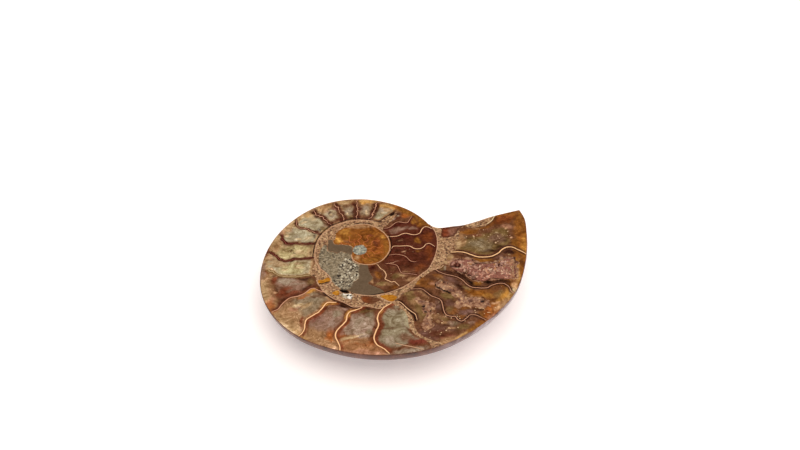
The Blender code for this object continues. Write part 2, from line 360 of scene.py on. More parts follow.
# The walls between chambers, each from the inner side out:
# points, colour of its calcite, half its width, colour it shades into, width of that shade, its side.
SEPTA = {
    "mouth": ([(46.5, 15.7), (49.3, 16.4), (51.7, 17.9), (53.2, 19.8), (54.6, 22.8)],
              "cream", 0.24, "brown", 0.9, 0),
    "first": ([(34.2, 0.4), (37, 0.8), (40.5, 0.3), (43.2, -1), (46, -2.4), (49, -2.7), (52, -2.2),
               (54.6, -0.4), (56.5, 1.7), (58.5, 2.8), (60.5, 2.7), (62.7, 1.2), (66.2, -1.8)],
              "apricot", 0.27, "umber", 1, 0),
    "second": ([(27.8, -8.6), (29.8, -10.6), (32.5, -12), (35.3, -12.9), (37.8, -14.2), (39.3, -15.8),
                (40.7, -17.9), (42.6, -19.5), (45, -20), (48.5, -20.2), (50.5, -19), (53, -17.9),
                (55.6, -18), (57.5, -20), (58.3, -22.5), (60.2, -24.2)],
               "dusty_pink", 0.17, "umber", 0.9, 0),
    "third": ([(17, -19.9), (20.5, -19.8), (22.8, -20), (24.3, -21.5), (26.3, -23.7), (28.9, -25.2),
               (30, -26.2), (30.6, -28.5), (31, -31.5), (31.9, -34), (33.8, -34.9), (35.5, -35.1),
               (36.4, -36.8), (38, -37.6), (39.8, -36), (41.2, -34.6), (43.3, -34.5), (45.2, -35.8),
               (47.5, -37.5)], "dusty_pink", 0.17, "umber", 1, 0),
    "fourth": ([(12.4, -26), (14.2, -27), (15.6, -28.7), (17, -30.6), (18.7, -32.3), (20, -33.8),
                (20.6, -36.2)], "peach", 0.16, "umber", 1.1, 0),
    "fifth": ([(11, -26.9), (9.5, -27.8), (7.8, -29.2), (6.5, -31), (5.4, -33), (5.1, -35.5),
               (5.5, -38.5), (4.8, -41), (4, -44), (4.1, -46.5), (5.2, -48.8), (7.2, -50.2), (9.8, -53)],
              "apricot", 0.27, "russet", 1.9, 1),
    "sixth": ([(-1.2, -29.2), (-1.5, -29.4), (-3.8, -30.6), (-5.8, -31.3), (-6.8, -33), (-7.1, -35.8),
               (-8.4, -37.8), (-10, -40), (-10.9, -42.2), (-10.9, -44.5), (-10, -46.8), (-9.1, -49.5),
               (-9.2, -52.5)], "apricot", 0.28, "russet", 1.5, 1),
    "seventh": ([(-11.6, -26), (-12.6, -26.1), (-14.7, -25.9), (-15.9, -27), (-16.8, -29), (-18.3, -31.2),
                 (-20.8, -33), (-22.6, -34.7), (-23.3, -37), (-23.3, -39.5), (-23.9, -41.5),
                 (-25.6, -43.6)], "apricot", 0.27, "russet", 1.6, 1),
    "eighth": ([(-16.6, -20.3), (-17.5, -19.9), (-19.2, -19.2), (-20.6, -18), (-22.2, -18.4),
                (-23.5, -19.8), (-25.2, -21.3), (-27.5, -22.2), (-29.8, -22.8), (-31.8, -24.5),
                (-33, -26.3), (-34.3, -28.8), (-36.6, -30.2)], "dusty_pink", 0.26, "mahogany", 1.7, -1),
    "ninth": ([(-22.3, -10.4), (-25.5, -10.8), (-28.5, -11.3), (-31.5, -11.2), (-34, -10.9), (-36, -10.2),
               (-37.2, -9.3), (-38.3, -8.2), (-40, -7.2)], "buff", 0.17, "olive", 0.6, 0),
    "tenth": ([(-22.2, -0.9), (-25, -0.9), (-27.5, -1.3), (-30, -1.2), (-33.5, -2), (-35.7, -1.3),
               (-37.2, 0.2), (-38.8, 2.1), (-40.3, 3.3), (-42, 3.1), (-43.5, 1.6)],
              "oxblood", 0.14, "maroon", 0.9, 0),
    "eleventh": ([(-21.9, 8), (-24.5, 7.8), (-27, 7.6), (-29.3, 8.5), (-32, 8.2), (-34.5, 9), (-36, 10.8),
                  (-36.3, 13), (-37.6, 15.6)], "oxblood", 0.14, "maroon", 1, 0),
    "twelfth": ([(-20, 13.6), (-21.8, 14.8), (-24, 15.5), (-26, 17), (-28.7, 17.8), (-30.5, 19.5),
                 (-30.6, 22), (-31.3, 24)], "dusty_pink", 0.12, "maroon", 0.8, 0),
    "thirteenth": ([(-15.6, 18.7), (-17.3, 20.8), (-18.7, 22.7), (-20, 24.4), (-22, 25.8), (-23.5, 27.3),
                    (-24.2, 29.5)], "dusty_pink", 0.13, "maroon", 1.6, 0),
    "fourteenth": ([(-10.6, 21.5), (-10.2, 23.5), (-11.5, 25.8), (-12.3, 27.8), (-13, 29.5), (-14.2, 31),
                    (-15, 33.2)], "dusty_pink", 0.16, "maroon", 1.7, 0),
    "fifteenth": ([(-5, 22.2), (-4.6, 24.5), (-4.9, 27), (-4.6, 29), (-5.3, 31), (-5.2, 33), (-5, 35)],
                  "dusty_pink", 0.18, "maroon", 1.8, 0),
    "sixteenth": ([(0.2, 21.8), (1.2, 23.4), (2, 25), (2.4, 26.8), (3.3, 28.6), (3.3, 30.3), (3.9, 32),
                   (6, 32.8), (8.5, 32.3), (10.4, 31.6)], "dusty_pink", 0.19, "maroon", 1.7, 0),
    "broken": ([(5.4, 20.4), (7.8, 23), (9.5, 24.5), (11.3, 26.2)], "umber", 0.21, "umber", 0.5, 0),
    "seventeenth": ([(7.2, 16.2), (9.5, 16.6), (11.2, 18.5), (13, 19.9), (15.5, 19.4), (17, 19.4),
                     (18, 21.2), (18.8, 22.8)], "dusty_pink", 0.15, "maroon", 0.9, -1),
    "eighteenth": ([(8.6, 11), (10.5, 10.9), (13, 11.3), (15, 12.4), (16.8, 12.7), (19, 11.8), (21, 11.8),
                    (22.4, 12.9), (23.2, 15), (24.4, 16.3), (25.8, 16.3), (27.2, 15.2)],
                   "peach", 0.17, "maroon", 1.1, -1),
    "nineteenth": ([(9.8, 2.6), (11.2, 5), (13.5, 5), (16, 5.2), (18, 4.8), (20, 3.4), (22.3, 3.2),
                    (23.8, 4.3), (24.8, 5.8), (26.4, 6.1), (28, 4.6)], "peach", 0.17, "maroon", 1.1, -1),
    "twentieth": ([(9.4, -0.2), (12, 0.2), (14.5, -0.2), (16.5, -1.4), (17.6, -3.2), (19, -4.3),
                   (20.5, -4.4)], "dusty_pink", 0.13, "maroon", 0.8, -1),
    "twentyfirst": ([(8.2, -5), (10.5, -5.3), (12.6, -6.3), (13.6, -8.4), (14.3, -10.4), (16, -11),
                     (18.5, -11.2), (21, -12)], "dusty_pink", 0.13, "maroon", 0.6, 0),
    "twentysecond": ([(4.5, -5.8), (6, -7.6), (7.8, -9.9), (8.3, -12), (7.8, -13.8), (9.2, -14.8),
                      (10.6, -15.6), (11.8, -15.4), (13.5, -17.6)], "peach", 0.16, "brown", 0.8, 0),
    "spur": ([(8.6, -4.9), (10.6, -4.6), (12, -4), (13.3, -3.7)], "dusty_pink", 0.1, "maroon", 0.4, 0),
}

# The first whorl's crowded walls are drawn by rule: bearings in degrees from the first chamber.
FIRST_CHAMBER = (-2.9, 3.3)
FIRST_CHAMBER_SIZE = 2.9
INNER_WALL_BEARINGS = (148, 124, 92, 66, 38, 12, -14, -40, -66)
UPPER_WALLS_END, LOWER_WALLS_END = 9.6, 6.2  # how far out they reach

# Thin lines of pale shell, and cracks.
SHELL_LINES = {
    "whorl": [(27.3, 17.6), (28.8, 13), (29.5, 9), (29.4, 4), (28.5, -1), (26.8, -6), (25.3, -9),
              (22.3, -11.9), (20, -14.4), (17, -17.2), (13, -19.8), (8.5, -21.8), (4, -22.8), (0, -22.7),
              (-4, -21.8)],
    "ring": [(2.4, 20.9), (-2, 21.6), (-6.5, 21.5), (-9.5, 20.7), (-12.7, 19.2), (-15.3, 17.7),
             (-17.3, 15.4), (-19.2, 12.8), (-20.5, 9.6), (-21.3, 5.6), (-21.5, 1.2), (-21.1, -2.3),
             (-19.9, -4.8), (-18.9, -7), (-17.2, -8.6), (-15.4, -10.8), (-14.1, -13.2), (-14.4, -15.3),
             (-16.3, -16.4), (-18.4, -16.7), (-19.3, -15.4), (-20, -13.6)],
    "first_whorl": [(-8.5, 17.6), (-5, 18.7), (-1, 18.9), (3, 17.3), (6.3, 14.3), (8.7, 10.5), (9.7, 6),
                    (9.3, 2), (7.6, -1.6), (4.8, -4.4), (1, -5.4), (-2.8, -4.6), (-5.4, -2.4),
                    (-6.3, 0.4)],
    "lower_band": [(-17.6, -18.9), (-16, -20.8), (-14.4, -22.5), (-12.2, -24.2), (-10, -25.2),
                   (-7.5, -26.8), (-5, -28.6), (-2, -28.8), (0, -28.4), (3, -29.1), (5.5, -29.9),
                   (7.5, -29.1)],
    "drop": [(5.5, -23.6), (7.3, -24.9), (9.5, -26.4), (11.5, -26.6)],
    "diagonal": [(12.6, -48.2), (15.5, -49.2), (19, -50.2), (22.5, -51.4)],
    "olive_edge": [(27.2, -9), (28.8, -8.8), (30.6, -8.2), (31.6, -6.8)],
}
DARK_LINES = {
    "inner_wall": [(6, 20.3), (2.5, 20.9), (0.3, 21.8), (-3.2, 22.5), (-6.5, 22.4), (-9.7, 21.6),
                   (-13, 20.1), (-15.8, 18.7), (-17.8, 16.4), (-19.5, 14.1), (-20.8, 11.2), (-21.6, 8.6),
                   (-22.2, 4), (-22.3, 0)],
    "crescent": [(-5.5, 19.2), (-3.2, 19.7), (-0.5, 19.7), (2, 18.9)],
    "first_shade": [(9.3, 11.5), (10.3, 6.5), (9.8, 1.5), (7.8, -2.6)],
    "bar": [(-18.9, -15.6), (-17.4, -15.4), (-16, -14.9), (-14.9, -14.6)],
    "fourth_shade": [(17.8, -32.6), (19.4, -34.2), (20, -36.6)],
    "pocket_a": [(34.5, -7.3), (35.8, -8.3), (37.3, -9.3)],
    "pocket_b": [(39.4, -9.4), (40.6, -9.9), (41.5, -10.7)],
    "patch_a": [(30.3, -19.5), (31.7, -21.1), (33.7, -22)],
    "patch_a2": [(28.2, -17.4), (28.5, -18.8), (29.6, -19.8)],
    "under_band": [(-16.8, -20.8), (-15, -22.6), (-12.6, -24.9), (-10, -26.3), (-7.6, -27.6), (-5, -29.2),
                   (-2.4, -29.5)],
    "scratch": [(0.5, -22.9), (4, -22.3), (8, -21.2), (11.5, -20.4), (14.5, -20)],
}

MUDSTONE = [
    (12.3, 26), (10.5, 25), (8, 22.8), (6, 21), (3.5, 20.6), (0.2, 21.3), (-3, 21.9), (-6.5, 21.9),
    (-9.5, 21.1), (-12.7, 19.6), (-15.5, 18.2), (-17.4, 16), (-19.1, 13.8), (-20.3, 11.5), (-21.1, 8.5),
    (-21.7, 5), (-21.9, 1), (-21.6, -2), (-21, -4), (-21.8, -6), (-22.5, -8.5), (-22.8, -10.2),
    (-21, -11.5), (-20, -13), (-19.9, -14.8), (-18.8, -16.8), (-17.6, -18.8), (-16, -20.6),
    (-14.3, -22.3), (-12.3, -24), (-10, -25), (-7.5, -26.5), (-5, -28.3), (-2, -28.6), (0, -28.2),
    (3, -28.9), (5.5, -29.8), (7.5, -29), (9, -27.7), (10.7, -27), (12.3, -26.4), (13, -25),
    (15.3, -22.3), (19, -19.3), (21, -15.5), (24, -12.5), (27, -9.9), (29.5, -8.6), (31, -6.8),
    (32.3, -4.8), (33.5, -3), (34.3, 0.4), (36, 2), (37, 5), (37.3, 8), (38.3, 11), (39.5, 14),
    (40.5, 18.5), (27, 18.5), (28.8, 13), (29.5, 9), (29.4, 4), (28.5, -1), (26.8, -6), (25.3, -9),
    (22.3, -11.9), (20, -14.4), (17, -17.2), (13, -19.8), (8.5, -21.8), (5.5, -19.2), (3, -17.6),
    (1, -16), (2.8, -13), (1.8, -10.8), (0.9, -8), (0.6, -5.5), (4.8, -4.6), (7.6, -1.6), (9.2, 2),
    (9.7, 6), (8.7, 10.5), (7, 14), (6.5, 16), (8.5, 18.5), (10.5, 21), (12, 23.5),
]
MUDSTONE_BAND = [
    (10.7, -27), (13, -29), (15, -31), (16.5, -33.5), (17, -36.5), (17.4, -39.5), (18.8, -42.8),
    (21, -45), (23.5, -46.7), (25, -48.3), (27.5, -51.5), (30.8, -50.6), (28.5, -47.8), (26, -46.8),
    (23.2, -45.3), (21, -43.3), (19.8, -40.8), (19.3, -38), (18.9, -35.5), (17.9, -33), (16, -30.4),
    (14, -27.8), (12.3, -26),
]
MUDSTONE_END = [
    (40.5, 18.5), (41.5, 16.2), (44, 15.6), (46.5, 15.9), (49.3, 16.9), (51.5, 18.4), (53, 20.3),
    (54.3, 23.5),
]
FIRST_WHORL = [
    (-13.4, 13), (-12.6, 14.8), (-11, 16.2), (-8.5, 17.6), (-5, 18.8), (-1, 19), (3, 17.3), (6.3, 14.3),
    (8.6, 10.5), (9.7, 6), (9.3, 2), (7.6, -1.6), (4.8, -4.4), (1, -5.4), (-2.8, -4.6), (-5.4, -2.4),
    (-6.3, 0.4), (-6, 3.4), (-5.9, 5.4), (-7.5, 6.2), (-9.7, 6.8), (-12, 7), (-13.8, 7.6), (-14, 9.5),
    (-13.3, 10.8),
]
GREY = [
    (-17, 6.5), (-16.3, 3.2), (-14, 2.5), (-12, 1.7), (-10.5, 2.7), (-8.5, 1.5), (-6.3, 0.8),
    (-6.2, -1.5), (-5, -4), (-3.2, -5.3), (-2.9, -8), (-3.2, -10), (-3, -13), (-4.5, -14.5), (-6, -15.5),
    (-5.5, -18), (-7.5, -19.2), (-10, -18.5), (-12, -16.3), (-14, -14), (-14.8, -11.5), (-16.5, -9.3),
    (-18.6, -6.5), (-19.6, -3.5), (-19.8, 0), (-19.3, 3.5), (-18.3, 6.3),
]
SPARKLE = [
    (-8.5, -1), (-5.6, -3.6), (-3.6, -6), (-3, -10), (-3.2, -13), (-5, -15.2), (-6, -17.8), (-8, -19.3),
    (-10.4, -18.2), (-12.6, -15.6), (-13.6, -12.8), (-11.6, -10.6), (-11.2, -7), (-10, -3.6),
]
SMOOTH_UPPER = [
    (-16.3, 9.8), (-14.5, 9.5), (-13.8, 7.2), (-10, 6.6), (-6.5, 5.6), (-6, 3.5), (-6.2, 1), (-8.5, 1.6),
    (-10.5, 2.8), (-12, 1.9), (-14, 2.8), (-15.8, 3), (-16.5, 5), (-16.2, 7),
]
SMOOTH_LOWER = [
    (-2.8, -5.2), (0.5, -5.6), (1, -8), (1.8, -10.8), (2.8, -13), (2.2, -14.5), (1, -16), (3, -17.5),
    (5.5, -19), (7.5, -20.8), (5.5, -22), (2, -22.6), (-2, -22.5), (-5, -21), (-7, -19.3), (-5.5, -18),
    (-6.2, -15.8), (-4, -14.4), (-2.9, -12.8), (-3.2, -10), (-2.9, -7.5),
]
WHITE_GRAINS = [
    (-9.8, -21.5), (-8, -21.6), (-6, -21.5), (-4.8, -22.8), (-5.5, -24.3), (-7.2, -24.2), (-9, -23.2),
]
RESIN_SPOTS = {
    "bar": [(-19.4, -13.6), (-17.5, -13.4), (-15.5, -12.2), (-14.5, -13), (-14.6, -14.5), (-16.5, -15),
            (-18.4, -16), (-19.3, -15)],
    "spot": [(-13.4, -21), (-12.4, -20), (-11, -19.6), (-10.4, -20.8), (-10.8, -22.2), (-12.3, -22)],
    "drop": [(6, -23.2), (8.5, -22.6), (11, -22.8), (12.8, -24), (11.5, -26), (10, -26.3), (8, -25)],
}
SMALL_CHAMBER = [
    (-1.8, -23.3), (1, -22.9), (4.5, -24), (7, -25.6), (5, -26.2), (3, -27.5), (0.8, -27.2), (-1, -26),
]
PILLAR = [
    (31.8, 15.3), (36, 16), (41, 17.2), (39, 14.5), (37.5, 11.5), (35.5, 9.8), (33, 9.4), (31.2, 10.2),
    (31.4, 13),
]
DRUSE_PATCHES = {
    "round_pocket": [(33.8, -6), (34.8, -3.9), (38, -2.9), (42.4, -3), (45.6, -5.1), (50.5, -5.7),
                     (54.4, -3.6), (57.6, -2.6), (61.4, -3.2), (62.2, -7), (61.8, -12), (60.4, -16),
                     (55, -15.9), (50.8, -15.7), (48, -17.2), (45.2, -16.6), (42.4, -15)],
    "left": [(27.8, -17.2), (28.6, -16.1), (30.4, -15.6), (33.4, -16.2), (35.6, -19.3), (37.4, -21.4),
             (39.3, -23.6), (38.2, -24.8), (35.9, -25.2), (34.2, -22.9), (32.7, -22.5), (29.7, -20.3)],
    "lower": [(19.5, -25), (21, -24.2), (23, -26), (25.2, -27.8), (27.2, -28.7), (27, -31.8),
              (26.4, -34.4), (27.3, -39.1), (25.9, -41.3), (24.2, -42.5), (22.3, -40.3), (22.6, -37.7),
              (24.2, -34.4), (22.7, -32.3), (22, -28.9), (20, -26.8)],
    "right": [(35.6, -26.3), (37.2, -24.6), (39.3, -22.9), (41, -24.5), (44.3, -25), (46.7, -26.1),
              (48.9, -27.5), (49.2, -30.5), (45.2, -30.9), (40.5, -30), (37, -30.9), (35, -30)],
}

CHAMBER_REACH = 12.0  # no chamber's inside is further than this from its outline
PAST_RIM = 1.14  # closes a chamber's outline well outside the rim
# What fills each chamber between two walls, from the lowest wash up: mineral, how far in from the walls
# it starts, between which distances from the rim it lies, and its strength.
CHAMBERS = [
    ("mouth", "first", [
        ("brown", 0, 0, 40, 1), ("olive", 1.5, 8, 40, 0.9), ("sage", 3.2, 14, 26, 0.5),
        ("amber", 0.4, 0, 5, 0.8)]),
    ("first", "second", [("brown", 0, 0, 40, 1), ("amber", 0.3, 0, 5.5, 0.9)]),
    ("second", "third", [
        ("brown", 0, 0, 40, 1), ("amber", 0.5, 5, 14, 0.5), ("honey", 0.3, 1, 4.5, 0.7)]),
    ("fifth", "sixth", [
        ("brown", 0, 0, 40, 1), ("rose_grey", 1.6, 8, 19.5, 1), ("orange", 0.5, 0, 8.2, 0.5),
        ("tan", 0.3, 0, 5, 0.5)]),
    ("sixth", "seventh", [("brown", 0, 0, 40, 1), ("mauve", 1.5, 6, 22, 1), ("tan", 0.4, 0, 6.5, 0.9)]),
    ("seventh", "eighth", [
        ("tan", 0.2, 0, 30, 1), ("sage", 1.2, 6, 22, 0.8), ("tan", 0.6, 0, 9, 0.9),
        ("buff", 0.4, 0, 4.5, 0.6)]),
    ("eighth", "ninth", [("brown", 0, 0, 30, 1), ("mauve", 1.8, 7, 19, 0.7), ("tan", 0.4, 0, 5, 0.8)]),
    ("ninth", "tenth", [
        ("buff", 0.2, 0, 24, 1), ("celadon", 0.9, 2, 21, 0.8), ("pale_green", 1.5, 8, 17, 0.8)]),
    ("tenth", "eleventh", [
        ("buff", 0.2, 0, 24, 1), ("tan", 0.5, 1, 8, 0.6), ("pale_green", 1, 5, 17, 0.8)]),
    ("eleventh", "twelfth", [("buff", 0.2, 0, 22, 1), ("celadon", 0.9, 3, 17, 0.9)]),
    ("twelfth", "thirteenth", [
        ("buff", 0.3, 0, 20, 1), ("gold", 0.5, 0, 4, 0.7), ("celadon", 1, 3, 16, 0.9)]),
    ("thirteenth", "fourteenth", [
        ("tan", 0.4, 0, 16, 1), ("gold", 0.5, 0, 4, 0.5), ("celadon", 1.2, 4, 11, 0.7)]),
    ("fourteenth", "fifteenth", [
        ("tan", 0.7, 0, 14, 0.8), ("gold", 0.5, 0, 4, 0.3), ("sage", 1.5, 3, 11, 0.7)]),
    ("fifteenth", "sixteenth", [
        ("tan", 0.8, 0, 14, 0.8), ("gold", 0.5, 0, 4, 0.3), ("sage", 1.5, 4, 11, 0.6)]),
    ("sixteenth", "broken", [
        ("tan", 0.6, 0, 14, 0.9), ("gold", 0.5, 0, 4, 0.5), ("celadon", 1.3, 4, 11, 0.7),
        ("honey", 0.3, 0, 3.5, 0.7)]),
    ("seventeenth", "eighteenth", [("mahogany", 0, 0, 60, 1), ("mauve", 1.5, 12, 22, 0.5)]),
    ("eighteenth", "nineteenth", [("mahogany", 0, 0, 60, 1), ("umber", 1.6, 14, 60, 0.5)]),
    ("nineteenth", "twentieth", [("mahogany", 0, 0, 60, 1)]),
]
LOWER_CHAMBER = (
    "fifth", [("brown", 0, 0, 40, 1), ("sage", 1.2, 4, 23, 1), ("celadon", 2.4, 10, 21, 0.35)],
)

# Clouds in the calcite: mineral, middle x and y, half its length and width, direction in degrees, strength.
CLOUD_EDGE = (1.3, 0.45)  # where a cloud ends and where it is whole, in shares of its oval
OVAL_EDGE = (1.2, 0.6)  # the same for an area of pale grains
GROUND_TONES = [
    ("tan", -30, 14, 26, 22, 60, 1), ("tan", -6, 30, 22, 10, 0, 1), ("brown", -20, -34, 30, 20, 150, 1),
    ("rust", 2, -44, 24, 16, 0, 0.9), ("brown", 40, -28, 34, 22, 45, 1), ("brown", 54, 4, 18, 26, 80, 1),
    ("mahogany", 17, 2, 13, 26, 95, 1), ("brown", 16, 24, 9, 6, 0, 0.8),
]
RIM_TONES = [
    ("amber", 66, 12, 5, 18, 0, 0.7), ("honey", 65.6, 4, 2, 6, 0, 0.6),
    ("amber", 62, -14, 5, 14, -10, 0.7), ("gold", 61.6, -12, 1.2, 7, -8, 0.7),
    ("cream", 59.5, -22, 2.6, 1.6, 60, 0.9), ("gold", 57.6, -25.6, 3, 1.4, 52, 0.8),
    ("tan", 54, -30, 5, 2.4, 48, 0.8), ("apricot", 52.4, -31.4, 1.6, 0.7, 48, 0.8),
    ("orange", 48, -36, 6, 2, 42, 0.7), ("ochre", 44, -41, 8, 2, 36, 0.7),
    ("dusty_pink", 49, -35.6, 2.4, 0.8, 42, 0.7), ("apricot", 59.8, -19.2, 1.2, 2, 0, 0.7),
    ("tan", 33, -47.5, 8, 2.4, 28, 0.9), ("gold", 37, -45, 3, 0.8, 30, 0.8),
    ("fog", 17, -52.3, 9, 1.6, 8, 0.8), ("dusty_pink", 0, -52.4, 9, 1.7, -3, 0.9),
    ("peach", -13.6, -49.8, 4.6, 1.2, -24, 0.9), ("tan", -18, -47.5, 5, 2.2, -28, 0.8),
    # The ivory band at the lower left rim is partly the calcite's own pale tone and partly a painted
    # highlight.
    ("gold", -27, -41.5, 8, 1.6, -45, 0.5), ("ivory", -29.6, -40, 4.8, 1.7, -48, 0.85),
    ("orange", -37.5, -27, 4, 2, -62, 0.7), ("buff", -41.5, -18, 8, 2.6, -76, 0.9),
    ("mauve", -42.5, -8, 5, 1.6, -86, 0.8), ("oxblood", -42, 4, 3, 1.6, 84, 0.9),
    ("buff", -39, 11, 5, 2, 68, 0.9), ("dusty_pink", -36.4, 14.6, 1.6, 1, 60, 0.8),
    ("buff", -33, 21, 7, 2.4, 52, 0.9), ("peach", -29, 26, 1.8, 0.9, 45, 0.7),
    ("buff", -24, 29, 7, 2.2, 38, 0.8), ("tan", -18, 31.4, 3, 1.6, 28, 0.8),
    ("buff", -10, 34, 4, 1.2, 10, 0.7), ("gold", 0, 34, 5, 1.6, -6, 0.8),
    ("gold", 8, 31.4, 5, 2.2, -20, 0.9), ("orange", 12.6, 29.6, 2.4, 1.2, -28, 0.8),
    ("ochre", 17, 26.5, 7, 2.2, -38, 0.9), ("ochre", 24, 20.5, 5, 2.4, -52, 0.9),
]
